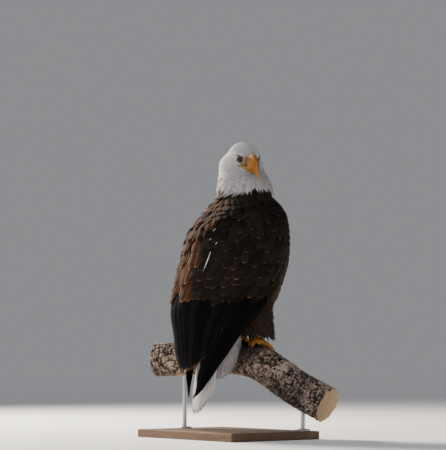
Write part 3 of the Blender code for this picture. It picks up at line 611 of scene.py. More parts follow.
class Feathers:
    """Feathers of one kind, each given by its root, length and width, to be laid on a surface."""

    def __init__(self, seed, grid, outline, length, width, deep, lift, cup=0.10, thick=0.0004, rag=0.04,
                 tilt=0.0):
        """Height runs from deep at the root to lift at the tip.

        The cup lowers both edges of a vane, and the tilt lowers one edge and raises the other.
        """
        a, b, under, self.quads = vane_shell(*grid)
        chance = np.random.default_rng(seed)
        count = len(length)
        length, width = np.asarray(length)[:, None], np.asarray(width)[:, None]
        ahead, across = vane_outline(a, b, *outline)
        ragged = chance.normal(0, rag, (count, len(a))) * (a > 0.7) * (under < 0.5)
        self.ahead = length * (ahead + ragged)
        self.across = width / 2 * across
        deep, lift = np.reshape(deep, (-1, 1)), np.reshape(lift, (-1, 1))
        self.height = (deep * (1 - a) ** 1.4 + lift * a ** 1.5
                       - cup * width * b * b * (0.3 + 0.7 * a) - tilt * width * b + 0.0002 * (b == 0)
                       - thick * under)
        self.vane = np.column_stack([b / 2 + 0.5, a])
        self.tone = chance.random(count)
        self.points = None

    def lay(self, surface, u, v, yaw, tall=None):
        """On a surface of two parameters: metres down and across become steps by its own scale.

        With tall given, that many metres of feather lie over each metre of the second parameter.
        """
        u, v, yaw = (np.asarray(x, float).reshape(-1, 1) for x in (u, v, yaw))
        ahead = self.ahead * np.cos(yaw) - self.across * np.sin(yaw)
        across = self.across * np.cos(yaw) + self.ahead * np.sin(yaw)
        step = 0.0005
        if tall is None:
            rise = surface(u, v + step, 0.0) - surface(u, v - step, 0.0)
            tall = np.linalg.norm(rise, axis=-1) / (2 * step)
        down = v - ahead / tall
        near = np.broadcast_to(u, down.shape)
        wide = np.linalg.norm(surface(near + step, down, 0.0) - surface(near - step, down, 0.0), axis=-1)
        near = near + across * 2 * step / np.maximum(wide, 2 * step * 0.02)
        self.points = surface(near, down, self.height)

    def lay_on_head(self, root, flow, yaw):
        """On the head: a flat feather at its root is wrapped down on to the head's surface."""
        turn, level = crown_place(root)
        step, step_turn = 0.0006, 0.012
        du = crown_surface(turn + step_turn, level, 0.0) - crown_surface(turn - step_turn, level, 0.0)
        dv = crown_surface(turn, level + step, 0.0) - crown_surface(turn, level - step, 0.0)
        normal = unit(np.cross(du, dv))
        flow = unit(flow - (flow * normal).sum(-1)[:, None] * normal)
        side = np.cross(normal, flow)
        flow, side = (flow * np.cos(yaw)[:, None] + side * np.sin(yaw)[:, None],
                      side * np.cos(yaw)[:, None] - flow * np.sin(yaw)[:, None])
        flat = (root[:, None] + self.ahead[..., None] * flow[:, None]
                + self.across[..., None] * side[:, None])
        self.points = crown_surface(*crown_place(flat), self.height)

    def faces(self):
        """Quads of all the feathers, turned outwards by the sign of the volume they enclose."""
        p = self.points[:, self.quads]
        volume = np.einsum("nfi,nfi->n", p[:, :, 0] - self.points[:, :1],
                           np.cross(p[:, :, 1] - p[:, :, 0], p[:, :, 2] - p[:, :, 0]))
        quads = self.quads if np.median(volume) > 0 else self.quads[:, ::-1]
        return (quads[None] + np.arange(len(self.points))[:, None, None] * len(self.vane)).reshape(-1, 4)


SHARP = math.radians(55)
PATCH = 0.003                   # size of one small feather on the map that its colours are baked to


def put_values(piece, name, values):
    """One number for each point of a piece, for its material to read."""
    store = piece.data.attributes.new(name, "FLOAT", "POINT").data
    store.foreach_set("value", values.astype(np.float32))


def put_plumage(name, coat, places, finish, patch=PATCH):
    """One coat piece from laid feathers; places are their roots on an unwrap of the skin, 0 to 1."""
    piece = put_mesh(name, coat.points, coat.faces())
    mesh = piece.data
    vane = np.tile(coat.vane, (len(coat.points), 1))
    root = np.repeat(places, len(coat.vane), axis=0)
    corner = np.empty(len(mesh.loops), np.int32)
    mesh.loops.foreach_get("vertex_index", corner)
    for layer, values in (("OFBake", root + (vane - 0.5) * patch), ("vane", vane)):
        mesh.uv_layers.new(name=layer).data.foreach_set("uv", values[corner].astype(np.float32).ravel())
    put_values(piece, "tone", np.repeat(coat.tone, len(coat.vane)))
    mesh.set_sharp_from_angle(angle=SHARP)
    mesh.materials.append(finish)
    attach(piece, "root")
    return piece


BARB_TURNS = 110.0              # how fast the barbs follow one another down a vane
BARB_SLANT = -26.0              # and how far they slant back towards its edges


def make_feather_group():
    """Node group: a feather's colour from shaft to fringe, its own shade, and its barbs' height."""
    group = bpy.data.node_groups.new("feather_vane", "ShaderNodeTree")
    for socket, kind in (("Colour", "NodeSocketColor"), ("Fringe", "NodeSocketColor"),
                         ("Down", "NodeSocketColor"), ("Fringe Width", "NodeSocketFloat"),
                         ("Fringe Strength", "NodeSocketFloat"), ("Spread", "NodeSocketFloat")):
        group.interface.new_socket(socket, in_out="INPUT", socket_type=kind)
    group.interface.new_socket("Colour", in_out="OUTPUT", socket_type="NodeSocketColor")
    group.interface.new_socket("Height", in_out="OUTPUT", socket_type="NodeSocketFloat")
    given = group.nodes.new("NodeGroupInput").outputs
    vane = group.nodes.new("ShaderNodeUVMap")
    vane.uv_map = "vane"
    split = add_node(group, "ShaderNodeSeparateXYZ", Vector=vane.outputs["UV"])
    tone = number_at(group, "tone")
    along_vane = split.outputs["Y"]
    middle = sums(group, "SUBTRACT", split.outputs["X"], 0.5)
    aside_vane = sums(group, "MULTIPLY", sums(group, "ABSOLUTE", middle), 2.0)
    to_side = sums(group, "MULTIPLY", sums(group, "SUBTRACT", 1.0, aside_vane), 0.40)
    to_tip = sums(group, "SUBTRACT", 1.0, along_vane)
    edge = sums(group, "SMOOTH_MIN", to_side, to_tip, 0.05)
    fringe = step_node(group, edge, given["Fringe Width"], 0.0, "SMOOTHSTEP")
    late = step_node(group, along_vane, 0.10, 0.70, "SMOOTHSTEP")
    fringe = sums(group, "MULTIPLY", sums(group, "MULTIPLY", fringe, late), given["Fringe Strength"])
    own = sums(group, "SINE", sums(group, "MULTIPLY", tone, 57.0))
    own = sums(group, "MULTIPLY_ADD", own, 0.45, 0.55)
    fringe = sums(group, "MULTIPLY", fringe, own)
    slant = sums(group, "MULTIPLY", along_vane, BARB_TURNS)
    barbs = sums(group, "SINE", sums(group, "MULTIPLY_ADD", aside_vane, BARB_SLANT, slant))
    shaft = step_node(group, aside_vane, 0.09, 0.03)
    downy = step_node(group, along_vane, 0.45, 0.10, "SMOOTHSTEP")
    colour = blend_colour(group, downy, given["Colour"], given["Down"])
    colour = blend_colour(group, fringe, colour, given["Fringe"])
    shade = sums(group, "MULTIPLY_ADD", sums(group, "SUBTRACT", tone, 0.5), given["Spread"], 1.0)
    shade = sums(group, "MULTIPLY_ADD", barbs, 0.05, shade)
    shade = sums(group, "MULTIPLY_ADD", shaft, 0.12, shade)
    grey = add_node(group, "ShaderNodeCombineColor", _0=shade, _1=shade, _2=shade).outputs[0]
    result = group.nodes.new("NodeGroupOutput")
    group.links.new(blend_colour(group, 1.0, colour, grey, "MULTIPLY"), result.inputs["Colour"])
    group.links.new(sums(group, "MULTIPLY_ADD", shaft, 2.0, barbs), result.inputs["Height"])
    return group


feather_vane = make_feather_group()


def feather_finish(name, colour, fringe, down, width, strength, spread, roughness=0.75, shine=0.2):
    """Material of one kind of feather."""
    material, tree = plain_material(name, colour, roughness, Specular_IOR_Level=shine)
    vane = add_node(tree, "ShaderNodeGroup", {"node_tree": feather_vane}, Colour=colour, Fringe=fringe,
                    Down=down, Fringe_Width=width, Fringe_Strength=strength, Spread=spread)
    wire(tree, vane.outputs["Colour"])
    roughen(tree, 0.25, 0.0003, vane.outputs["Height"])
    return material


PLASTIC = 1.324717957244746     # the root of x^3 = x + 1
TURN_STEP = 1 / PLASTIC
LEVEL_STEP = 1 / PLASTIC ** 2


def spread_evenly(count, low_level, high_level):
    """Roots spread evenly over the head, by steps in direction and in area that never repeat."""
    k = np.arange(count)
    levels = np.linspace(low_level, high_level, 400)
    middle = crown_surface(TURNS[:-1, None], levels[None], 0.0)
    ring = np.linalg.norm(np.diff(middle, axis=0), axis=-1).sum(0)
    rise = np.linalg.norm(np.diff(middle, axis=1), axis=-1).mean(0)
    area = np.concatenate([[0], np.cumsum((ring[1:] + ring[:-1]) / 2 * rise)])
    share = (LEVEL_STEP * k + 0.31) % 1.0
    turn = ((TURN_STEP * k) % 1.0 - 0.5) * 2 * math.pi
    place = np.column_stack([turn / (2 * math.pi) + 0.5, share])
    return turn, np.interp(share, area / area[-1], levels), place


FAN_CENTRE = np.array((0.062, 0.0, 0.004))


def lie_of_head(local):
    """Direction that the head's feathers lie in: away from the bill near it, turning to down."""
    away = local - FAN_CENTRE
    near = np.maximum(np.exp(-(np.linalg.norm(away, axis=1) / 0.085) ** 3), 0.45)[:, None]
    return near * (unit(away) @ HEAD_AXES.T) + (1 - near) * np.array((0, 0, -1.0))


GAPE_X = (0.0345, 0.0440, 0.0560, 0.0660)
GAPE_Z = (-0.0118, -0.0128, -0.0152, -0.0164)


def bareness(local):
    """1 and more off the bare places: the eye's rim, the lores before it, and the gape."""
    x, y, z = local[..., 0], np.abs(local[..., 1]), local[..., 2]
    eye = np.hypot((x - EYE_MIDDLE[0]) / 0.0092, (z - EYE_MIDDLE[1]) / 0.0088)
    lores = np.hypot((x - 0.0510) / 0.0080, (z - 0.0002) / 0.0118)
    brow = np.hypot((x - 0.0400) / 0.0150, (z - 0.0108) / 0.0024)
    off = z - np.interp(x, GAPE_X, GAPE_Z)
    half = (0.0006 + 0.0048 * smooth_step(0.033, 0.053, x)) * np.where(off > 0, 1.0, 0.62)
    gape = np.hypot(off / half, np.maximum(GAPE_X[0] - x, 0) / 0.001)
    return np.where(y > 0.010, np.minimum(np.minimum(eye, lores), np.minimum(brow, gape)), 9.0)


def clear_of_face(local, tip):
    """True for feathers rooted off the bare places and the bill, with tips off the eyes and gape."""
    off_bill = (local[:, 2] < -0.0210) | ((np.abs(local[:, 1]) > 0.0130) & (local[:, 2] < -0.0180))
    keep = ((local[:, 0] < FACE_FRONT - 0.0008) | off_bill) & (bareness(local) > 1)
    for share in (0.5, 1.0):
        x, y, z = (local + (tip - local) * share).T
        keep &= np.hypot((x - EYE_MIDDLE[0]) / 0.0086, (z - EYE_MIDDLE[1]) / 0.0082) > 1
        keep &= (x < GAPE_X[0] + 0.004) | (bareness(points_at(x, y, z)) > 0.8)
    return keep


def points_of(piece):
    """A piece's points in the bird's axes."""
    found = np.empty(len(piece.data.vertices) * 3)
    piece.data.vertices.foreach_get("co", found)
    return found.reshape(-1, 3) - PLACE


HEAD_FEATHERS = 6400
LOWEST_CHIN = -0.036            # level of the lowest roots under the bill, and elsewhere
LOWEST_ROOT = -0.020
NAPE_LENGTH = 0.0125
FACE_LENGTH = 0.0050
LOW_LENGTH = 0.006              # added towards the throat and the foot of the cheeks
turn, level, place = spread_evenly(HEAD_FEATHERS, LOWEST_CHIN, math.radians(88) * RISE_LENGTH)
root = crown_surface(turn, level, 0.0)
local = to_head(root)
flow = lie_of_head(local)
chance = np.random.default_rng(11)
face = smooth_step(0.000, 0.050, local[:, 0])
length = (NAPE_LENGTH * (1 - face) + FACE_LENGTH * face) * chance.uniform(0.85, 1.15, HEAD_FEATHERS)
length = length + LOW_LENGTH * smooth_step(-0.015, -0.045, local[:, 2]) * (1 - face)
tip = local + to_head(HEAD_CENTRE + unit(flow) * length[:, None])
keep = clear_of_face(local, tip) & ((level > LOWEST_ROOT) | (local[:, 0] > 0.030))
length, root, flow, place = length[keep], root[keep], flow[keep], place[keep]
crown = Feathers(12, (4, 2), ROUND_VANE, length, length * 0.44, -0.0028, 0.0003 + 0.035 * length,
                 rag=0.010)
crown.lay_on_head(root, flow, chance.normal(0, 0.12, len(length)))
WHITE_DOWN = (0.58, 0.56, 0.58, 1.0)
white_finish = feather_finish("white_feather_finish", WHITE, (0.86, 0.83, 0.80, 1.0), WHITE_DOWN,
                              0.10, 0.5, 0.10)
put_plumage("plumage_head", crown, place, white_finish)

# The skin's own bare places, for its colour: just within the places that the feathers leave out.
skin_points = points_of(skin)
skin_local = to_head(skin_points)
bare = 1 - smooth_step(1.25, 1.8, bareness(skin_local))
put_values(skin, "bare", bare * (skin_local[:, 0] > 0) * (skin_local[:, 2] > -0.03))

# ================================================================ hackles of the neck
# Long pointed white feathers hang loosely round the neck, and end in a jagged hem over the
# brown shoulders.
HACKLES = 3000
HACKLE_TOP = 0.022
HACKLE_LENGTH = 0.014           # high on the neck
HACKLE_GROWTH = 0.022           # and how much longer they are down at the hem
HEM = -0.056                    # level of the lowest roots, where the hem hangs lowest


def rise_of_hem(turn):
    """How much higher the hem is on the right breast and behind the left shoulder."""
    toward = 0.788 * np.cos(turn) - 0.616 * np.sin(turn)
    return 0.017 * smooth_step(-0.2, 0.5, toward) + 0.018 * smooth_step(0.45, 0.90, -toward)


skin_turn = np.arctan2(skin_points[:, 1] - HEART[1], skin_points[:, 0] - HEART[0])
above_hem = skin_points[:, 2] - HEAD_BASE - HEM - rise_of_hem(skin_turn) + 0.008
put_values(skin, "white", smooth_step(-0.004, 0.004, above_hem))

turn, level, place = spread_evenly(HACKLES, HEM, HACKLE_TOP)
root = crown_surface(turn, level, 0.0)
local = to_head(root)
flow = lie_of_head(local)
low_down = smooth_step(HACKLE_TOP, -0.040, level)
length = (HACKLE_LENGTH + HACKLE_GROWTH * low_down) * chance.uniform(0.78, 1.22, HACKLES)
keep = (level > HEM + rise_of_hem(turn)) & (chance.random(HACKLES) < 0.35 + low_down)
keep &= clear_of_face(local, local)
length, root, flow, place, low_down = (a[keep] for a in (length, root, flow, place, low_down))
hackles = Feathers(14, (5, 4), POINTED_VANE, length, 0.0050 + 0.08 * length, -0.0080,
                   0.0006 + (0.0008 + 0.0024 * low_down) * chance.random(len(length)),
                   cup=0.16, rag=0.015)
hackles.lay_on_head(root, flow, chance.normal(0, 0.14, len(length)))
# The white hackles are coloured grey, and near black at the roots: painted shade, for the dark streaks
# between them.
hackle_finish = feather_finish("hackle_finish", (0.56, 0.54, 0.55, 1.0), (0.84, 0.81, 0.78, 1.0),
                               (0.15, 0.14, 0.15, 1.0), 0.10, 0.6, 0.50)
put_plumage("plumage_neck", hackles, place, hackle_finish)

# ================================================================ breast, belly and back
# Dark brown contour feathers of thin horn, rooted in the skin in staggered rows, like tiles,
# from the shoulders down to the vent and round over the rump.


SPAN_STEPS = 60


def tiled_roots(seed, surface, span, levels, pitch, jitter=0.22):
    """Staggered rows down a surface: at each level the row's arc is shared out by the pitch."""
    chance = np.random.default_rng(seed)
    found = []
    for row, level in enumerate(levels):
        u = np.linspace(*span(level), SPAN_STEPS)
        arc = np.linalg.norm(np.diff(surface(u, np.full(SPAN_STEPS, level), 0.0), axis=0), axis=1)
        arc = np.concatenate([[0], np.cumsum(arc)])
        step = pitch(level)
        at = np.arange((row % 2) * 0.5 * step, arc[-1] + 0.3 * step, step)
        at = at + chance.normal(0, jitter * 0.5, len(at)) * step
        drop = chance.normal(0, jitter * 0.6, len(at)) * abs(levels[1] - levels[0])
        found.append(np.column_stack([np.interp(at, arc, u), level + drop]))
    return np.concatenate(found)


def unwrapped(roots):
    """Roots' places on the surface's own unwrap, fitted to the middle of the unit square."""
    low, high = roots.min(0), roots.max(0)
    return 0.02 + 0.96 * (roots - low) / (high - low)


BREAST_TOP, VENT, RUMP_TOP = 0.392, 0.034, 0.120
BREAST_LENGTH = 0.030
RUFF_LENGTH = 0.0165


def breast_span(z):
    """How far round the trunk the rows of the breast run: less above, where the wings lie over it."""
    half = 2.3 - 0.9 * smooth_step(0.1, 0.2, z)
    return -half, half


breast = tiled_roots(21, trunk_surface, breast_span, np.arange(BREAST_TOP, VENT, -0.0095),
                     lambda z: 0.0125)
rump = tiled_roots(22, trunk_surface, lambda z: (2.2, 2 * math.pi - 2.2),
                   np.arange(RUMP_TOP, VENT, -0.0110), lambda z: 0.015)
roots = np.concatenate([breast, rump])
length = BREAST_LENGTH * chance.uniform(0.85, 1.2, len(roots))
breast_coat = Feathers(23, (5, 4), ROUND_VANE, length, length * 0.62, -0.0055,
                       0.0004 + chance.uniform(0, 0.0012, len(roots)), rag=0.05)
breast_coat.lay(trunk_surface, *roots.T, chance.normal(0, 0.12, len(roots)))
BROWN_DOWN = (0.020, 0.014, 0.010, 1.0)
TAN = (0.165, 0.092, 0.048, 1.0)
breast_finish = feather_finish("breast_feather_finish", (0.034, 0.022, 0.015, 1.0), TAN, BROWN_DOWN,
                               0.10, 0.5, 0.5)
put_plumage("plumage_breast", breast_coat, unwrapped(roots), breast_finish)

# A ruff of short brown feathers closes the ring between the neck and the shoulders.
levels = np.array((0.4080, 0.4035, 0.3990)) - HEAD_BASE
roots = tiled_roots(24, crown_surface, lambda level: (-math.pi, math.pi), levels, lambda level: 0.0080)
length = RUFF_LENGTH * np.random.default_rng(25).uniform(0.8, 1.2, len(roots))
ruff = Feathers(26, (5, 4), ROUND_VANE, length, length * 0.66, -0.0080, -0.0036, rag=0.01)
ruff.lay(crown_surface, *roots.T, np.random.default_rng(27).normal(0, 0.15, len(roots)), 1.0)
ruff_finish = feather_finish("ruff_finish", (0.016, 0.0100, 0.0072, 1.0), (0.085, 0.044, 0.022, 1.0),
                             BROWN_DOWN, 0.08, 0.7, 0.9, shine=0.1)
put_plumage("plumage_ruff", ruff, unwrapped(roots), ruff_finish)

# ================================================================ trousers
# Loose dark feathers with pointed ends, rooted in rows down each thigh. They hang over the leg to
# the foot, stand off it in front, and end in a ragged hem.
TROUSER_TOP = 0.135
FLARE = 0.016                   # how far the trousers stand off the leg at the hem, ahead and outside


def loose_trousers(name):
    """The thigh's cone with its front and outer side standing off more and more towards the hem."""
    leg, hem = thigh_surface(name), LEGS[name][3]

    def surface(turn, z, height):
        f = np.clip((THIGH_TOP - z) / (THIGH_TOP - hem), 0, 1.3)
        return leg(turn, z, height + FLARE * np.maximum(np.cos(turn - 0.6), -0.3) * f ** 1.2)
    return surface


for name in LEGS:
    leg = loose_trousers(name)
    hem = LEGS[name][3]
    levels = np.arange(TROUSER_TOP, hem + 0.002, -0.0080)
    roots = tiled_roots(31 + LEGS[name][0], leg, lambda z: (0.0, 2 * math.pi), levels, lambda z: 0.0085)
    fall = (TROUSER_TOP - roots[:, 1]) / (TROUSER_TOP - hem)
    length = (0.025 + 0.006 * fall ** 3) * chance.uniform(0.75, 1.25, len(roots))
    trousers = Feathers(33, (6, 4), POINTED_VANE, length, 0.0085 + 0.08 * length, -0.0050,
                        0.0006 + chance.uniform(0, 0.0024, len(roots)), cup=0.14, rag=0.03)
    trousers.lay(leg, *roots.T, chance.normal(0, 0.14, len(roots)))
    put_plumage("plumage_leg_" + name, trousers, unwrapped(roots), breast_finish)

# ================================================================ folded wings
# From the bird's shoulder down: small coverts like tiles, a row of long greater coverts, and
# under them the stiff flight feathers, rooted in the folded arm, whose tips cross behind. Over the
# back lie the scapulars.
STEP = 0.0068                   # depth of each layer of flight feathers under the one above
COVERT_TOP = 0.392
MANTLE_TOP = 0.390
GROWTH = 0.20                   # height over which the coverts and scapulars grow to full size
GREATERS, SECONDARIES, PRIMARIES = 14, 15, 15
GREATER_LENGTH = 0.078
GREATER_WIDTH = 0.036
QUILL_WIDTH = 0.034
COVERT_PATCH = 0.02
GREATER_PATCH = 0.04
FLIGHT_PATCH = 0.035
SECONDARY_TOP = 0.180
PRIMARY_TOP = 0.165
NIGHT = (0.0048, 0.0044, 0.0052, 1.0)
covert_finish = feather_finish("covert_finish", (0.0125, 0.0085, 0.0066, 1.0),
                               (0.185, 0.105, 0.056, 1.0), BROWN_DOWN, 0.040, 1.0, 1.0, shine=0.12)
mantle_finish = feather_finish("mantle_finish", (0.033, 0.0138, 0.0076, 1.0), (0.240, 0.120, 0.060, 1.0),
                               (0.004, 0.003, 0.002, 1.0), 0.050, 1.0, 1.7, shine=0.04)
greater_finish = feather_finish("greater_covert_finish", (0.0085, 0.0066, 0.0060, 1.0),
                                (0.075, 0.042, 0.023, 1.0), BROWN_DOWN, 0.032, 1.0, 0.9, shine=0.08)
flight_finish = feather_finish("flight_finish", NIGHT, (0.100, 0.054, 0.030, 1.0), NIGHT,
                               0.030, 1.0, 0.9, roughness=0.7, shine=0.03)


def falling_rows(top, low, first, last):
    """Heights of rows of roots from top to low, spaced from first to last as the feathers grow."""
    rows = [top]
    while rows[-1] > low:
        rows.append(rows[-1] - first - (last - first) * (top - rows[-1]) / (top - low))
    return np.array(rows)


def mantle_edge(z):
    """How far round the wing the rust brown of the scapulars begins."""
    return 0.77 + 0.10 * smooth_step(0.13, 0.22, z) - 0.05 * smooth_step(0.25, 0.31, z)


def mantle_pitch(z):
    """Distance between scapulars along a row: a square of the depth below the top of the mantle."""
    fall = (MANTLE_TOP - z) / GROWTH
    return 0.0105 + 0.0150 * fall + 0.008 * fall ** 2


for side, sign in (("right", -1), ("left", 1)):
    wing = wing_surface(sign)
    chance = np.random.default_rng(40 + sign)

    rows = falling_rows(COVERT_TOP, 0.185, 0.0115, 0.0260)
    roots = tiled_roots(41 + sign, wing, lambda z: (-0.02, mantle_edge(z) + 0.02), rows,
                        lambda z: 0.0135 + 0.0145 * (COVERT_TOP - z) / GROWTH, 0.26)
    size = (COVERT_TOP - roots[:, 1]) / GROWTH
    length = (0.027 + 0.036 * size) * chance.uniform(0.92, 1.12, len(roots))
    width = (0.0190 + 0.0185 * size) * chance.uniform(0.92, 1.08, len(roots))
    coverts = Feathers(42, (8, 6), ROUND_VANE, length, width, -0.0055,
                       0.0008 + chance.uniform(0, 0.0014, len(roots)), rag=0.008)
    coverts.lay(wing, *roots.T, 0.18 - 0.2 * roots[:, 0] + chance.normal(0, 0.07, len(roots)))
    piece = put_plumage("plumage_wing_coverts_" + side, coverts, unwrapped(roots), covert_finish,
                        COVERT_PATCH)
    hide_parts("wing_coverts_" + side)

    s = np.linspace(-0.01, 0.80, GREATERS)
    hem = 0.095 + 0.10 * (s - 0.40) ** 2 + chance.normal(0, 0.007, len(s))
    roots = np.column_stack([s, hem + GREATER_LENGTH])
    greater = Feathers(43, (10, 6), ROUND_VANE, np.full(GREATERS, GREATER_LENGTH),
                       np.full(GREATERS, GREATER_WIDTH), -0.0075, -0.0006 + 0.0012 * s, rag=0.006)
    greater.lay(wing, s, roots[:, 1], 0.10 + chance.normal(0, 0.03, len(s)), 1.0)
    piece = put_plumage("plumage_greater_coverts_" + side, greater, unwrapped(roots), greater_finish,
                        GREATER_PATCH)
    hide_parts("wing_greater_coverts_" + side)

    rows = falling_rows(MANTLE_TOP, 0.190, 0.0100, 0.0400)
    roots = tiled_roots(44 + sign, wing, lambda z: (mantle_edge(z), 0.990), rows, mantle_pitch, 0.30)
    size = np.clip((MANTLE_TOP - roots[:, 1]) / GROWTH, 0, 1)
    length = (0.034 + 0.068 * size ** 1.3) * chance.uniform(0.88, 1.12, len(roots))
    width = (0.0125 + 0.0300 * size ** 1.5) * chance.uniform(0.9, 1.1, len(roots))
    scapulars = Feathers(45, (10, 6), LEAF_VANE, length, width, -0.0060,
                         0.0008 + chance.uniform(0, 0.0022, len(roots)), cup=0.13, rag=0.008)
    scapulars.lay(wing, *roots.T, -0.06 + chance.normal(0, 0.07, len(roots)))
    piece = put_plumage("plumage_scapulars_" + side, scapulars, unwrapped(roots), mantle_finish,
                        COVERT_PATCH)
    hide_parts("scapulars_" + side)

    s = np.linspace(0.40, 0.975, SECONDARIES)
    tip = -0.088 + 0.16 * np.clip(0.75 - s, 0, 1) ** 1.5 + chance.normal(0, 0.002, len(s))
    secondary = Feathers(46, (24, 6), QUILL_VANE, SECONDARY_TOP - tip, np.full(SECONDARIES, QUILL_WIDTH),
                         -STEP - 0.0005, -STEP + 0.0008 + 0.0045 * (s - 0.40),
                         cup=0.05, thick=0.0008, rag=0.003, tilt=0.035)
    secondary.lay(wing, s, SECONDARY_TOP, 0.0, 1.0)
    piece = put_plumage("plumage_secondaries_" + side, secondary, np.column_stack([s, s * 0 + 0.5]),
                        flight_finish, FLIGHT_PATCH)
    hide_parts("wing_secondaries_" + side)

    s = np.linspace(0.03, 0.88, PRIMARIES)
    reach = 0.28 if sign < 0 else 0.10
    tip = np.interp(s, (0, reach, reach + 0.09, 0.9), (-0.158, -0.163, -0.068, -0.060))
    tip = tip + chance.normal(0, 0.0015, len(s))
    wide = np.interp(s, (0, 0.3), (0.026 - 0.008 * sign, QUILL_WIDTH))
    primary = Feathers(47, (26, 6), QUILL_VANE, PRIMARY_TOP - tip, wide, -2 * STEP - 0.0005,
                       -2 * STEP + 0.0010 + 0.0030 * s, cup=0.05, thick=0.0008, rag=0.003, tilt=0.035)
    primary.lay(wing, s, PRIMARY_TOP, 0.0, 1.0)
    piece = put_plumage("plumage_primaries_" + side, primary, np.column_stack([s, s * 0 + 0.5]),
                        flight_finish, FLIGHT_PATCH)
    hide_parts("wing_primaries_" + side)

# A white feather lies loose on the right wing, below the shoulder, with three small white bits near it:
# painted highlights, for the sheen on the glossy coverts there.
# Each: how far round the wing, height, length, width and turn.
LOOSE_PATCH = 0.01
loose = np.array(((0.768, 0.226, 0.060, 0.0030, 0.02), (0.790, 0.290, 0.012, 0.0022, 0.25),
                  (0.735, 0.252, 0.010, 0.0022, 0.30), (0.800, 0.264, 0.008, 0.0020, 0.10)))
down = Feathers(49, (6, 2), POINTED_VANE, loose[:, 2], loose[:, 3], 0.0006, 0.0040, rag=0.01)
down.lay(wing_surface(-1), loose[:, 0], loose[:, 1], loose[:, 4])
put_plumage("plumage_loose_white_and_painted_sheen", down, unwrapped(loose[:, :2]), white_finish,
            LOOSE_PATCH)

# ================================================================ tail and its coverts
# Twelve stiff white tail feathers fan a little from the rump. Short white coverts lie over their
# roots on the back, and a loose white tuft of pointed ones hangs in front of them.
TAIL_LEAN = 0.170
TAIL_ROOT = -0.183
TAIL_TIP = -0.205
TAIL_TOP = 0.030
QUILL_TOP = 0.022
TAIL_WIDTH = 0.029
TAIL_COVERT_LENGTH = 0.034
TAIL_PATCH = 0.06
TAIL_COVERT_PATCH = 0.01


def tail_surface(u, z, height):
    """Leaning fan: half width swells by a sine from root to tip, and the sides fall by u squared."""
    f = np.clip((TAIL_TOP - z) / (TAIL_TOP - TAIL_TIP), 0, 1)
    half = 0.030 + 0.017 * np.sin(f * math.pi / 2)
    x = TAIL_ROOT + TAIL_LEAN * (z - TAIL_TOP) - 0.004 + 0.006 * u * u
    return points_at(x - height, half * u, z)


u = np.array((-0.80, 0.80, -0.66, 0.66, -0.52, 0.52, -0.37, 0.37, -0.22, 0.22, -0.07, 0.07))
rank = np.arange(12) // 2
tips = TAIL_TIP + 0.003 + 0.075 * np.maximum(np.abs(u - 0.10) - 0.30, 0) ** 1.3
tips = tips + np.random.default_rng(51).normal(0, 0.0015, 12)
tall = math.hypot(1, TAIL_LEAN)
layer = -0.0050 + 0.0022 * rank
rectrices = Feathers(52, (24, 8), QUILL_VANE, (QUILL_TOP - tips) * tall, np.full(12, TAIL_WIDTH),
                     layer, layer, cup=0.04, thick=0.0007, rag=0.002)
rectrices.lay(tail_surface, u, QUILL_TOP, -0.02 * u)
# White tail coloured light grey, partly painted shade; its dark grey edges are painted shadow between
# the feathers.
tail_finish = feather_finish("tail_finish", (0.45, 0.435, 0.44, 1.0), (0.11, 0.10, 0.10, 1.0),
                             WHITE_DOWN, 0.085, 1.0, 0.25)
piece = put_plumage("plumage_tail", rectrices, np.column_stack([u / 2 + 0.5, rank / 12 + 0.2]),
                    tail_finish, TAIL_PATCH)
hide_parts("tail")

levels = np.linspace(0.028, -0.045, 9)
roots = tiled_roots(53, tail_surface, lambda z: (-0.85, 0.85), levels, lambda z: 0.010)
length = TAIL_COVERT_LENGTH * np.random.default_rng(54).uniform(0.85, 1.15, len(roots))
upper_coverts = Feathers(55, (6, 4), ROUND_VANE, length, length * 0.50, 0.0035, 0.0060,
                         cup=0.08, rag=0.02)
upper_coverts.lay(tail_surface, *roots.T, np.random.default_rng(56).normal(0, 0.1, len(roots)))
# The upper coverts share the tail's finish, with its painted shade.
piece = put_plumage("plumage_tail_coverts_upper", upper_coverts, unwrapped(roots), tail_finish,
                    TAIL_COVERT_PATCH)
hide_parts("tail_coverts_upper")

TUFT_Z = (-0.118, -0.095, -0.065, -0.030, 0.000, 0.030)
TUFT_X = (-0.187, -0.170, -0.156, -0.1475, -0.142, -0.137)
TUFT_DEEP = (0.009, 0.025, 0.036, 0.040, 0.041, 0.039)
TUFT_HALF = (0.016, 0.030, 0.035, 0.036, 0.036, 0.034)


def tuft_surface(turn, z, height):
    """Ovals stacked down the tuft of coverts below the tail, with a swell towards the perch."""
    swell = 0.012 * np.maximum(np.cos(turn + 0.35), 0) * smooth_step(-0.17, -0.09, z)
    height = height + swell + 0.002
    x = along(TUFT_Z, TUFT_X, z) + (along(TUFT_Z, TUFT_DEEP, z) + height) * np.cos(turn)
    return points_at(x, (along(TUFT_Z, TUFT_HALF, z) + height) * np.sin(turn), z)


levels = np.linspace(0.034, -0.086, 15)
roots = tiled_roots(57, tuft_surface, lambda z: (0.0, 2 * math.pi), levels, lambda z: 0.0090)
length = TAIL_COVERT_LENGTH * np.random.default_rng(58).uniform(0.8, 1.2, len(roots))
tuft = Feathers(59, (6, 4), POINTED_VANE, length, length * 0.42, -0.0050,
                0.0006 + np.random.default_rng(60).uniform(0, 0.0016, len(roots)), rag=0.04)
tuft.lay(tuft_surface, *roots.T, np.random.default_rng(61).normal(0, 0.12, len(roots)))
# These white coverts are coloured mid grey: painted shade.
tuft_finish = feather_finish("tuft_finish", (0.42, 0.40, 0.41, 1.0), (0.80, 0.78, 0.77, 1.0),
                             (0.30, 0.285, 0.29, 1.0), 0.10, 0.6, 0.3)
piece = put_plumage("plumage_tail_coverts_under", tuft, unwrapped(roots), tuft_finish,
                    TAIL_COVERT_PATCH)
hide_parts("tail_coverts_under")

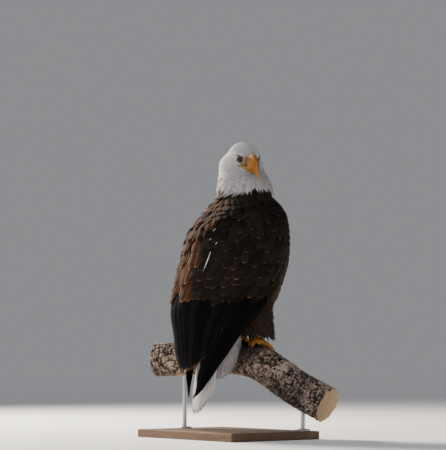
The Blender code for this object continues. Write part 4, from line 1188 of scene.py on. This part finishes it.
# ================================================================ eyes
# Round glass eyeballs set into the skull under a heavy brow: a black pupil in an amber iris, with a
# wet clear surface. A bare rim of lid goes round each, and a bare ridge of skin lies over it.
EYE_PLACE = (0.0345, 0.0230, 0.0040)
EYE_RADIUS = 0.0105
IRIS_EDGE = math.radians(44)
EYE_GAZE = (0.47, 0.88, 0.00)
LID_FACING = (0.62, 0.78, 0.03)
EYE_SIDES = 48
EYE_ROWS = 44


def eye_axes(sign, toward):
    """Centre of one eye, a direction it faces in the bird's axes, and two directions across it."""
    centre = from_head((EYE_PLACE[0], sign * EYE_PLACE[1], EYE_PLACE[2]))
    facing = unit(HEAD_AXES @ np.array((toward[0], sign * toward[1], toward[2])))
    forward = unit(HEAD_AXES[:, 0] - (HEAD_AXES[:, 0] @ facing) * facing)
    return centre, facing, forward, np.cross(facing, forward) * sign


eye_finish, tree = plain_material("eye_finish", (0.1, 0.04, 0.01, 1.0), 0.06, Specular_IOR_Level=0.12,
                                  Coat_Weight=0.10, Coat_Roughness=0.02)
spoke = add_node(tree, "ShaderNodeAttribute", {"attribute_name": "spoke"}).outputs["Vector"]
streak = add_node(tree, "ShaderNodeTexNoise", Vector=spoke, Scale=7.0).outputs["Fac"]
iris = blend_colour(tree, streak, (0.045, 0.013, 0.003, 1.0), (0.16, 0.060, 0.010, 1.0))
edge = ramp(tree, number_at(tree, "from_pupil"),
            ((0.0, (0, 0, 0, 1)), (0.48, (0, 0, 0, 1)), (0.54, (1, 1, 1, 1)),
             (0.80, (1, 1, 1, 1)), (1.0, (0.05, 0.04, 0.03, 1))))
wire(tree, blend_colour(tree, 1.0, iris, edge, "MULTIPLY"))

eye_turn = full_turn(EYE_SIDES)
eye_angle = np.radians(np.linspace(2, 178, EYE_ROWS))[:, None, None]
for side, sign in (("right", -1), ("left", 1)):
    centre, facing, forward, across = eye_axes(sign, EYE_GAZE)
    swell = EYE_RADIUS * (1 + 0.030 * np.exp(-(eye_angle / IRIS_EDGE) ** 4))
    wheel = np.cos(eye_turn)[:, None] * forward + np.sin(eye_turn)[:, None] * across
    rings = centre + swell * (np.cos(eye_angle) * facing + np.sin(eye_angle) * wheel)
    eye = put_mesh("eyeball_" + side, *closed_tube(rings), outward=True)
    place = points_of(eye) - centre
    angle = np.arccos(np.clip(unit(place) @ facing, -1, 1))
    put_values(eye, "from_pupil", np.clip(angle / IRIS_EDGE, 0, 1))
    flat = points_at(place @ forward, place @ across, 0.0)
    flat /= np.linalg.norm(flat, axis=1)[:, None] + 1e-9
    eye.data.attributes.new("spoke", "FLOAT_VECTOR", "POINT").data.foreach_set(
        "vector", (flat + 0.2 * np.sin(9 * angle)[:, None]).astype(np.float32).ravel())
    eye.data.materials.append(eye_finish)
    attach(eye, "root")
    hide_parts("eye_" + side)


def face_side(x, z):
    """How far out the smooth head's side is at places given forward and up, in head axes."""
    return last_inside(lambda out: head_level(from_head(points_at(x, out, z))) < 1, x.shape, 0.08)


def tube_along(line, side, wide, high, sides):
    """Closed tube of ovals across a path: wide towards side, high towards the third direction."""
    line, side = np.asarray(line, float), np.asarray(side, float)
    way = unit(np.gradient(line, axis=0))
    across = unit(side - (way * side).sum(-1)[:, None] * way)
    up = np.cross(way, across)
    turn = full_turn(sides)
    wide, high = (np.reshape(a, (len(line), -1)) for a in (wide, high))
    return closed_tube(line[:, None] + ((np.cos(turn) * wide)[..., None] * across[:, None]
                                        + (np.sin(turn) * high)[..., None] * up[:, None]))


# Lids: a soft bare rim swept round the opening, thickest at its lip and sunk into the face behind.
LID_OPENING = np.radians((50, 46, 52, 42))      # ahead, above, behind and below the lids' axis
LID_WIDTH = math.radians(30)
LID_SIDES = 72
LIP_ROWS = 15
lid_finish, tree = plain_material("lid_finish", (0.20, 0.15, 0.07, 1.0), 0.55)
folds = noise(tree, 500.0, 3.0)
tone = blend_colour(tree, folds, (0.09, 0.065, 0.030, 1.0), (0.26, 0.19, 0.09, 1.0))
# Near black where the attribute is 0: at the lids' lip, on the part sunk behind it, and under each brow
# ridge as painted shade.
wire(tree, blend_colour(tree, number_at(tree, "clear_of_dark_lip_and_painted_shade"), (0.012, 0.010, 0.008, 1.0), tone))
roughen(tree, 0.4, 0.0003, folds)
lid_turn = full_turn(LID_SIDES)
c, s = np.cos(lid_turn), np.sin(lid_turn)
wide = np.where(c > 0, LID_OPENING[0], LID_OPENING[2])
tall = np.where(s > 0, LID_OPENING[1], LID_OPENING[3])
opening = 1 / np.sqrt((c / wide) ** 2 + (s / tall) ** 2)
w = np.concatenate([np.linspace(0, 1, LIP_ROWS), np.linspace(1, 0, 8)[1:-1]])
rows = len(w)
is_back = np.arange(rows) >= LIP_ROWS
swell = 1.015 + 0.13 * np.sin(math.pi * w ** 0.6) - 0.12 * w
swell = swell + 0.012 * np.sin(w * 22) * (w > 0.2) * (1 - w)
distance = EYE_RADIUS * np.where(is_back, 0.93 - 0.06 * w, swell)
angle = (opening[:, None] + LID_WIDTH * w)[..., None]
r, k = np.meshgrid(np.arange(LID_SIDES), np.arange(rows), indexing="ij")
r2, k2 = (r + 1) % LID_SIDES, (k + 1) % rows
quads = np.stack([r * rows + k, r * rows + k2, r2 * rows + k2, r2 * rows + k], -1).reshape(-1, 4)
for side, sign in (("right", -1), ("left", 1)):
    centre, facing, forward, across = eye_axes(sign, LID_FACING)
    wheel = c[:, None] * forward + s[:, None] * across
    points = distance[:, None] * (np.cos(angle) * facing + np.sin(angle) * wheel[:, None])
    lid = put_mesh("eyelids_" + side, centre + points, quads)
    check = points[quads // rows, quads % rows]
    if np.einsum("ni,ni->n", check[:, 0], np.cross(check[:, 1], check[:, 2])).sum() < 0:
        lid.data.flip_normals()
    put_values(lid, "clear_of_dark_lip_and_painted_shade", np.tile(np.where(is_back, 0.0, smooth_step(0.02, 0.22, w)), LID_SIDES))
    lid.data.materials.append(lid_finish)
    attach(lid, "root")

# Brows: a bare ridge of skin over each eye, under the edge of the forehead's feathers.
BROW_ROWS = 60
brow_x = np.linspace(0.0245, 0.0515, BROW_ROWS)
brow_z = 0.0130 - 0.05 * (brow_x - 0.030) + 0.0010 * np.sin(np.linspace(0, math.pi, BROW_ROWS))
ridge = np.sqrt(1 - 0.98 * np.linspace(-1, 1, BROW_ROWS) ** 2)
out = face_side(brow_x, brow_z) - 0.0004 + 0.0030 * ridge
pimple = 1 + 0.015 * np.sin(brow_x * 2600)
parts = []
for sign in (-1, 1):
    line = from_head(points_at(brow_x, sign * out, brow_z))
    parts.append(tube_along(line, HEAD_AXES @ np.array((0.0, sign, 0.0)),
                            0.0030 * ridge * pimple, 0.0017 * ridge, 20))
brows = put_mesh("brow_ridges", *joined(parts), outward=True)
at = to_head(points_of(brows))
above = at[:, 2] - np.interp(at[:, 0], brow_x, brow_z)
# Below the ridge's middle the skin turns near black: painted shade under the overhanging brow.
put_values(brows, "clear_of_dark_lip_and_painted_shade", 0.7 * smooth_step(0.0006, 0.0018, above))
brows.data.materials.append(lid_finish)
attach(brows, "root")

# ================================================================ bill
# A soft yellow cere with a slit nostril on each side, then the deep hooked horn over a shorter
# lower bill. The corners of the mouth run back under the eyes as yellow gape.
BILL_T = (0.0, 0.25, 0.50, 0.72, 0.88, 1.0)
BILL_LINE = ((0.0560, 0.0050), (0.0690, 0.0050), (0.0820, 0.0010), (0.0930, -0.0085),
             (0.0990, -0.0200), (0.1015, -0.0330))
BILL_HIGH = (0.0205, 0.0195, 0.0175, 0.0130, 0.0075, 0.0012)
BILL_WIDE = (0.0140, 0.0128, 0.0102, 0.0070, 0.0041, 0.0009)
LOWER_T = (0.0, 0.5, 0.85, 1.0)
LOWER_LINE = ((0.0520, -0.0190), (0.0700, -0.0195), (0.0810, -0.0195), (0.0850, -0.0195))
LOWER_HIGH = (0.0056, 0.0044, 0.0032, 0.0014)
LOWER_WIDE = (0.0135, 0.0108, 0.0072, 0.0024)
TOMIUM = -0.0160                # height at which the bill closes
CERE_PART = 0.36
NOSTRIL = (0.0690, 0.0108)
NOSTRIL_HALF = (0.0023, 0.0040)


def bill_surface(t, turn, swell=0.0):
    """Ovals across a drooping line, flattened below where the bill closes; head axes."""
    line = along(BILL_T, BILL_LINE, t) + np.minimum(t, 0)[..., None] * np.array((0.052, 0.0))
    at = np.maximum(t, 0.004)
    way = unit(along(BILL_T, BILL_LINE, at + 0.004) - along(BILL_T, BILL_LINE, at - 0.004))
    high = along(BILL_T, BILL_HIGH, t) + swell
    wide = along(BILL_T, BILL_WIDE, t) + swell
    c, s = np.cos(turn), np.sin(turn)
    keel = 1 - 0.30 * np.maximum(s, 0) ** 2
    jowl = smooth_step(0.0, 0.7, -s) * (1 - smooth_step(0.6, 0.9, t))
    fullness = 0.9 - 0.55 * jowl
    out = high * s * (1 + 0.25 * jowl)
    x = line[..., 0] - way[..., 1] * out
    z = line[..., 1] + way[..., 0] * out
    floor_z = TOMIUM - 0.0012 * np.sin(np.clip((x - 0.056) / 0.028, 0, 1) * math.pi)
    floor_z = floor_z - 0.10 * smooth_step(0.0835, 0.0885, x)
    z = np.maximum(z, floor_z)
    return points_at(x, wide * fuller(c, fullness) * keel, z)


def off_nostril(points):
    """0 in the middle of the slanting slit of the nostril, 1 at its rim, and more beyond."""
    x, z = points[..., 0] - NOSTRIL[0], points[..., 2] - NOSTRIL[1]
    return np.hypot((x + 0.35 * z) / NOSTRIL_HALF[0], z / NOSTRIL_HALF[1])


BILL_SIDES = 96
HORN_ROWS, CERE_ROWS, LOWER_ROWS = 110, 60, 50
NOSTRIL_DEPTH, NOSTRIL_RIM = 0.0040, 0.0006
bill_turn = full_turn(BILL_SIDES)[None]
horn_t = np.linspace(CERE_PART, 0.995, HORN_ROWS)[:, None]
horn_rings = bill_surface(horn_t, bill_turn)
growth_lines = 0.00004 * np.sin(horn_t * 330 + 2.0 * np.sin(bill_turn * 2)) * (1 - horn_t)
horn_rings[..., 1] += growth_lines * np.cos(bill_turn)
cere_t = np.linspace(-0.02, CERE_PART, CERE_ROWS)[:, None]
cere_swell = 0.0007 * np.sin(np.clip(cere_t / CERE_PART, 0, 1) * math.pi)
cere_rings = bill_surface(cere_t, bill_turn, cere_swell)
slit = off_nostril(cere_rings)
nostril_rise = NOSTRIL_RIM * np.exp(-((slit - 1.9) / 0.7) ** 2) - NOSTRIL_DEPTH * np.exp(-slit ** 4)
cere_rings[..., 1] += np.sign(cere_rings[..., 1]) * nostril_rise
lower_t = np.linspace(0, 0.99, LOWER_ROWS)[:, None]
lower_line = along(LOWER_T, LOWER_LINE, lower_t)
lower_z = lower_line[..., 1] + along(LOWER_T, LOWER_HIGH, lower_t) * np.sin(bill_turn)
lower_rings = points_at(lower_line[..., 0], along(LOWER_T, LOWER_WIDE, lower_t) * np.cos(bill_turn),
                        np.minimum(lower_z, TOMIUM - 0.0004))

horn_finish, tree = plain_material("bill_horn_finish", (0.80, 0.34, 0.03, 1.0), 0.38,
                                   Specular_IOR_Level=0.25)
cloud = noise(tree, 110.0, 4.0)
tint = ramp(tree, number_at(tree, "along_bill"),
            ((0.0, (0.31, 0.130, 0.012, 1)), (0.35, (0.31, 0.112, 0.008, 1)),
             (0.75, (0.26, 0.080, 0.006, 1)), (1.0, (0.28, 0.13, 0.028, 1))))
wire(tree, blend_colour(tree, sums(tree, "MULTIPLY", cloud, 0.4), tint, (0.24, 0.060, 0.004, 1.0)))
wire(tree, sums(tree, "MULTIPLY_ADD", cloud, 0.25, 0.20), "Roughness")
cere_finish, tree = plain_material("cere_finish", (0.78, 0.43, 0.08, 1.0), 0.5)
pores = noise(tree, 420.0, 3.0)
skin_tone = blend_colour(tree, pores, (0.22, 0.088, 0.011, 1.0), (0.35, 0.160, 0.022, 1.0))
# Inside the nostril's slit the cere is painted near black: painted shade in the hole.
wire(tree, blend_colour(tree, number_at(tree, "hollow"), skin_tone, (0.006, 0.003, 0.002, 1.0)))
roughen(tree, 0.3, 0.0004, pores)

for name, rings, finish, node in (("bill_horn_upper", horn_rings, horn_finish, "bill_upper"),
                                  ("bill_cere_skin", cere_rings, cere_finish, "bill_cere"),
                                  ("bill_horn_lower", lower_rings, horn_finish, "bill_lower")):
    local, quads = closed_tube(rings)
    piece = put_mesh(name, from_head(local), quads)
    put_values(piece, "along_bill", np.clip((local[:, 0] - 0.07) / 0.032, 0, 1))
    put_values(piece, "hollow", np.exp(-(0.9 * off_nostril(local)) ** 6) * (np.abs(local[:, 1]) > 0.004))
    piece.data.materials.append(finish)
    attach(piece, "root")
    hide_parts(node)

# Gape: two soft folded lips run back on each side from the bill to below the eye.
GAPE_ROWS = 48
gape_parts = []
gape_x = np.linspace(GAPE_X[-1], GAPE_X[0], GAPE_ROWS)
gape_z = along(GAPE_X, GAPE_Z, gape_x)
gape_grow = smooth_step(GAPE_X[0], 0.054, gape_x)
gape_out = face_side(np.minimum(gape_x, 0.0545), gape_z) - 0.0012
gape_out = gape_out * (1 - 0.42 * smooth_step(0.051, 0.066, gape_x))
fat = 0.0004 + 0.0024 * gape_grow * (1 - 0.6 * smooth_step(0.056, 0.066, gape_x))
folded = 0.0006 + fat * (0.42 + 0.07 * np.sin(np.linspace(0, 44, GAPE_ROWS)))
for sign in (-1, 1):
    for way in (1, -1):
        lip = from_head(points_at(gape_x, sign * gape_out, gape_z + way * (0.0002 + 0.0023 * gape_grow)))
        gape_parts.append(tube_along(lip, HEAD_AXES @ np.array((0.0, sign, 0.0)), folded, fat, 20))
gape = put_mesh("bill_gape", *joined(gape_parts))
gape_finish, tree = plain_material("gape_finish", (0.55, 0.36, 0.06, 1.0), 0.5)
folds = noise(tree, 260.0, 3.0)
wire(tree, blend_colour(tree, folds, (0.17, 0.085, 0.010, 1.0), (0.36, 0.185, 0.024, 1.0)))
gape.data.materials.append(gape_finish)
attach(gape, "root")

# ================================================================ feet
# Bare yellow feet: a short round tarsus, a plump pad, and four toes covered in scutes, each with
# a long black curved talon.
PAD_RADIUS = 0.0225
PAD_HALF = 0.0095
PAD_CLEAR = 0.0009
# Each toe: place along the branch at root and tip, turn about the branch at both, and thickness.
TOES = {
    "inner": (0.0165, 0.0225, 0.34, 1.00, 0.0080),
    "middle": (0.0, 0.0030, 0.46, 1.36, 0.0085),
    "outer": (-0.0178, -0.0360, 0.40, 1.15, 0.0075),
    "hind": (0.0, -0.0080, -0.46, -0.74, 0.0085),
}
TOE_CLEAR = 0.0012
TALON_START = 0.0032
TALON_LENGTH = 0.0300
TALON_CURVE = 0.0045
TARSUS_HALF = (0.0085, 0.0095)
PAD_ROWS = 26
PAD_SIDES = 48
TARSUS_ROWS = 40
TOE_ROWS = 56
TOE_SIDES = 28
TALON_ROWS = 36

leg_finish, tree = plain_material("leg_skin_finish", (0.70, 0.34, 0.05, 1.0), 0.5)
where = add_node(tree, "ShaderNodeTexCoord").outputs["Object"]
scales = add_node(tree, "ShaderNodeTexVoronoi", {"feature": "DISTANCE_TO_EDGE"},
                  Vector=where, Scale=420.0)
crack = step_node(tree, scales.outputs["Distance"], 0.0, 0.12)
tone = blend_colour(tree, noise(tree, 90.0, 3.0), (0.50, 0.17, 0.010, 1.0), (0.70, 0.30, 0.022, 1.0))
wire(tree, blend_colour(tree, crack, (0.22, 0.065, 0.006, 1.0), tone))
roughen(tree, 0.5, 0.0005, crack)
talon_finish, tree = plain_material("talon_finish", (0.018, 0.016, 0.016, 1.0), 0.25, Coat_Weight=0.4)
cloud = noise(tree, 500.0)
wire(tree, blend_colour(tree, cloud, (0.010, 0.009, 0.010, 1.0), (0.035, 0.030, 0.028, 1.0)))


def over_bark(place):
    """Points over the bark: metres along the branch from a place, turned about it, and height."""
    step = 0.002
    per_metre = step / np.linalg.norm(along(PERCH_STOPS, PERCH_LINE, place + step)
                                      - along(PERCH_STOPS, PERCH_LINE, place))

    def surface(u, turn, height):
        middle, _, up, front = perch_frame(np.asarray(place + u * per_metre))
        out = up * np.cos(turn)[:, None] + front * np.sin(turn)[:, None]
        return middle + (PERCH_RADIUS + height)[:, None] * out
    return surface


pad_lift = np.linspace(-1, 1, PAD_ROWS)[:, None, None]
pad_shrink = np.sqrt(np.maximum(1 - pad_lift ** 2, 0.02))
pad_turn = full_turn(PAD_SIDES)[:, None]
pad_knob = 1 + 0.03 * np.sin(9 * pad_turn) * pad_shrink ** 2
scute = 1 + 0.035 * np.abs(np.sin(np.linspace(0, 9 * math.pi, TARSUS_ROWS)))
toe_turn = full_turn(TOE_SIDES)
for side, (sign, place, _, hem) in LEGS.items():
    centre, ahead, up, front = perch_frame(np.array(place))
    on_perch = over_bark(place)
    pad = centre + up * (PERCH_RADIUS + PAD_HALF + PAD_CLEAR)
    wheel = np.cos(pad_turn) * front + 0.92 * np.sin(pad_turn) * ahead
    parts = [closed_tube(pad + PAD_HALF * pad_lift * up + PAD_RADIUS * pad_shrink * (wheel * pad_knob))]
    line = points_at(pad[0], pad[1], np.linspace(pad[2], hem + 0.018, TARSUS_ROWS))
    parts.append(tube_along(line, (0, 1, 0), TARSUS_HALF[0] * scute, TARSUS_HALF[1] * scute, 32))
    talon_parts = []
    for root_u, tip_u, root_turn, tip_turn, radius in TOES.values():
        f = np.linspace(0, 1, TOE_ROWS)
        inner_u, inner_turn = root_u * 0.45, root_turn * 0.45       # the skin runs on over the pad
        u = (inner_u + (tip_u - inner_u) * f) * sign
        turn = inner_turn + (tip_turn - inner_turn) * f
        thick = radius * (1 - 0.22 * f)
        line = on_perch(u, turn, thick + TOE_CLEAR)
        over = np.abs(np.sin(f * 10 * math.pi))[:, None] ** 0.6 * 0.055
        pads = np.cos(f * 6 * math.pi)[:, None] * 0.05
        fat = thick[:, None] * (1 + np.where(np.sin(toe_turn) > 0, over, pads))
        toe_end = np.sqrt(np.maximum(1 - ((f - 0.94) / 0.07) ** 2, 0.1))
        fat = fat * np.where(f > 0.94, toe_end, 1)[:, None]
        parts.append(tube_along(line, -ahead, fat, fat, TOE_SIDES))
        way = np.array((u[-1] - u[0], PERCH_RADIUS * (turn[-1] - turn[0])))
        g = np.linspace(0, 1, TALON_ROWS)
        reach = (TALON_START - 0.004 + (TALON_LENGTH + 0.004) * g)[:, None] * way / np.linalg.norm(way)
        height = radius * 0.78 + TOE_CLEAR + TALON_CURVE * np.sin(g * math.pi) - radius * 0.62 * g ** 2
        line = on_perch(u[-1] + reach[:, 0], turn[-1] + reach[:, 1] / PERCH_RADIUS, height)
        thin = radius * 0.70 * (1 - g) ** 0.75 + 0.0004
        talon_parts.append(tube_along(line, -ahead, thin * 0.82, thin, 24))
    foot = put_mesh("foot_skin_" + side, *joined(parts), outward=True)
    talons = put_mesh("talons_" + side, *joined(talon_parts), outward=True)
    for piece, finish, slot in ((foot, leg_finish, "leg_skin"), (talons, talon_finish, "talon")):
        piece.data.materials.append(finish)
        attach(piece, "root")
    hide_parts("foot_" + side, "tarsus_" + side, *["toe_%s_%s" % (toe, side) for toe in TOES])
    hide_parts(*["talon_%s_%s" % (toe, side) for toe in TOES])

# ================================================================ branch
# A cut length of an old rough-barked limb: furrowed grey plates with pale flaked spots, sawn
# across at both ends.


def lumps(points, size, seed):
    """Smooth random field from -1 to 1: a value at each corner of a lattice, blended by cubics."""
    cell = points / size + seed * 17.31
    low = np.floor(cell).astype(np.int64)
    f = cell - low
    f = f * f * (3 - 2 * f)
    total = 0
    for corner in range(8):
        offset = np.array((corner & 1, corner >> 1 & 1, corner >> 2))
        key = (low + offset) @ np.array((73856093, 19349663, 83492791))
        key = (key ^ (key >> 13)) * 1274126177
        value = ((key ^ (key >> 16)) & 0xFFFFF) / 0x80000 - 1.0
        total = total + value * np.prod(np.where(offset, f, 1 - f), axis=-1)
    return total


BARK_SIDES = 192
BARK_ROWS = 420
# Size of each kind of unevenness, and how deep it goes: plates parted by furrows, wrinkles, cracks,
# fine grain and broad swellings; and the knot's place along the branch and its height.
PLATE, WRINKLE, CRACK, FINE, BROAD = 0.0105, 0.0058, 0.0075, 0.0026, 0.055
DEPTHS = (0.0032, 0.0034, 0.0028, 0.0014, 0.0016)
KNOT_PLACE, KNOT_HEIGHT = 0.735, 0.0045
bark_t = np.linspace(0.0, 1.0, BARK_ROWS)
bark_turn = full_turn(BARK_SIDES)[None]
middle, ahead, up, front = perch_frame(np.clip(bark_t, 0.002, 0.998))
out = np.cos(bark_turn)[..., None] * up[:, None] + np.sin(bark_turn)[..., None] * front[:, None]
length_along = np.concatenate([[0], np.cumsum(np.linalg.norm(np.diff(middle, axis=0), axis=1))])
flat = points_at(length_along[:, None],
                 PERCH_RADIUS * np.cos(bark_turn), PERCH_RADIUS * np.sin(bark_turn))
warp = flat + 0.006 * np.stack([lumps(flat, 0.03, s) for s in (1, 2, 3)], -1)
plates = lumps(warp * np.array((0.8, 1, 1)), PLATE, 4)
furrow = -np.exp(-(np.abs(plates) / 0.13) ** 1.3)
wrinkle = 0.45 - np.abs(lumps(warp * np.array((1.9, 0.6, 0.6)), WRINKLE, 5))
crack = -np.exp(-(np.abs(lumps(warp * np.array((1.3, 0.45, 0.45)), CRACK, 9)) / 0.10) ** 1.2)
unevenness = (furrow, wrinkle, crack, lumps(warp, FINE, 6), lumps(flat, BROAD, 7))
feet_near = sum(np.exp(-((bark_t - leg[1]) / 0.075) ** 2) for leg in LEGS.values())[:, None]
calm = feet_near * smooth_step(-0.35, 0.35, np.cos(bark_turn))
knot = np.exp(-((bark_t[:, None] - KNOT_PLACE) / 0.022) ** 2 - ((np.cos(bark_turn) - 0.8) / 0.30) ** 2)
relief = sum(depth * shape for depth, shape in zip(DEPTHS, unevenness))
relief = relief + KNOT_HEIGHT * knot * (np.sin(bark_turn) < 0.9)
relief = np.minimum(relief, relief * (1 - calm) - 0.0006 * calm)
rings = middle[:, None] + (PERCH_RADIUS + relief)[..., None] * out
ends = np.array((1.0, 0.985, 0.80, 0.60, 0.40, 0.20, 0.05))[:, None, None]
first = middle[:1, None] + (rings[:1] - middle[:1, None]) * ends[::-1]
last = middle[-1:, None] + (rings[-1:] - middle[-1:, None]) * ends
branch = put_mesh("branch_bark", *closed_tube(np.concatenate([first, rings, last])))
cap = np.ones((len(ends), BARK_SIDES))
for label, values, middles in (
        ("cut", (cap, relief * 0, cap), 1.0),
        ("radial", (ends[::-1, 0] * cap, relief * 0 + 1, ends[:, 0] * cap), 0.0),
        ("relief", (cap * 0, relief * 1000, cap * 0), 0.0)):
    put_values(branch, label, np.append(np.concatenate(values), [middles, middles]))
bark_finish, tree = plain_material("bark_finish", (0.15, 0.11, 0.085, 1.0), 0.92)
low_high = step_node(tree, number_at(tree, "relief"), -4.6, 1.9)
speckle = noise(tree, 260.0, 5.0)
patch_of = noise(tree, 42.0, 4.0)
# The bark darkens to near black down in its furrows: partly its own colour, partly painted shade.
bark = ramp(tree, low_high, ((0.0, (0.004, 0.003, 0.003, 1)), (0.45, (0.022, 0.016, 0.013, 1)),
                             (0.70, (0.165, 0.120, 0.094, 1)), (1.0, (0.50, 0.385, 0.30, 1))))
flake = sums(tree, "MULTIPLY", step_node(tree, patch_of, 0.60, 0.68), low_high)
bark = blend_colour(tree, flake, bark, (0.46, 0.33, 0.21, 1.0))
bark = blend_colour(tree, sums(tree, "MULTIPLY", speckle, 0.40), bark, (0.020, 0.016, 0.014, 1.0))
wobble = sums(tree, "MULTIPLY", patch_of, 6.0)
years = sums(tree, "MULTIPLY_ADD", number_at(tree, "radial"), 95.0, wobble)
years = sums(tree, "MULTIPLY_ADD", sums(tree, "SINE", years), 0.25, 0.4)
wood = blend_colour(tree, years, (0.52, 0.37, 0.22, 1.0), (0.30, 0.19, 0.10, 1.0))
wire(tree, blend_colour(tree, number_at(tree, "cut"), bark, wood))
roughen(tree, 0.5, 0.0008, speckle)
branch.data.materials.append(bark_finish)
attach(branch, "root")
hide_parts("perch")

# ================================================================ display stand
# A planed hardwood board with a satin finish, and two turned steel rods with collars, screwed into
# the board from below and let into the branch.
wood_finish, tree = plain_material("stand_wood_finish", (0.16, 0.085, 0.045, 1.0), 0.42)
grain = noise(tree, 1.6, 7.0, (26.0, 2.2, 26.0), Distortion=0.6)
pore = noise(tree, 1.0, 3.0, (420.0, 14.0, 420.0))
wood = ramp(tree, grain, ((0.25, (0.085, 0.040, 0.020, 1)), (0.50, (0.170, 0.090, 0.045, 1)),
                          (0.62, (0.120, 0.060, 0.030, 1)), (0.80, (0.230, 0.130, 0.070, 1))))
wire(tree, blend_colour(tree, sums(tree, "MULTIPLY", pore, 0.35), wood, (0.05, 0.025, 0.012, 1.0)))
wire(tree, sums(tree, "MULTIPLY_ADD", pore, 0.22, 0.32), "Roughness")
roughen(tree, 0.15, 0.0004, pore)
steel_finish, tree = plain_material("stand_steel_finish", (0.56, 0.56, 0.57, 1.0), 0.3, Metallic=1.0)
brushed = noise(tree, 1.0, 2.0, (60.0, 60.0, 2600.0))
wire(tree, sums(tree, "MULTIPLY_ADD", brushed, 0.22, 0.20), "Roughness")
wire(tree, blend_colour(tree, brushed, (0.50, 0.50, 0.51, 1.0), (0.62, 0.62, 0.63, 1.0)))
for node, finish in (("stand_base", wood_finish), ("stand_rod_left", steel_finish),
                     ("stand_rod_right", steel_finish)):
    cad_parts[node].material_slots[0].material = finish
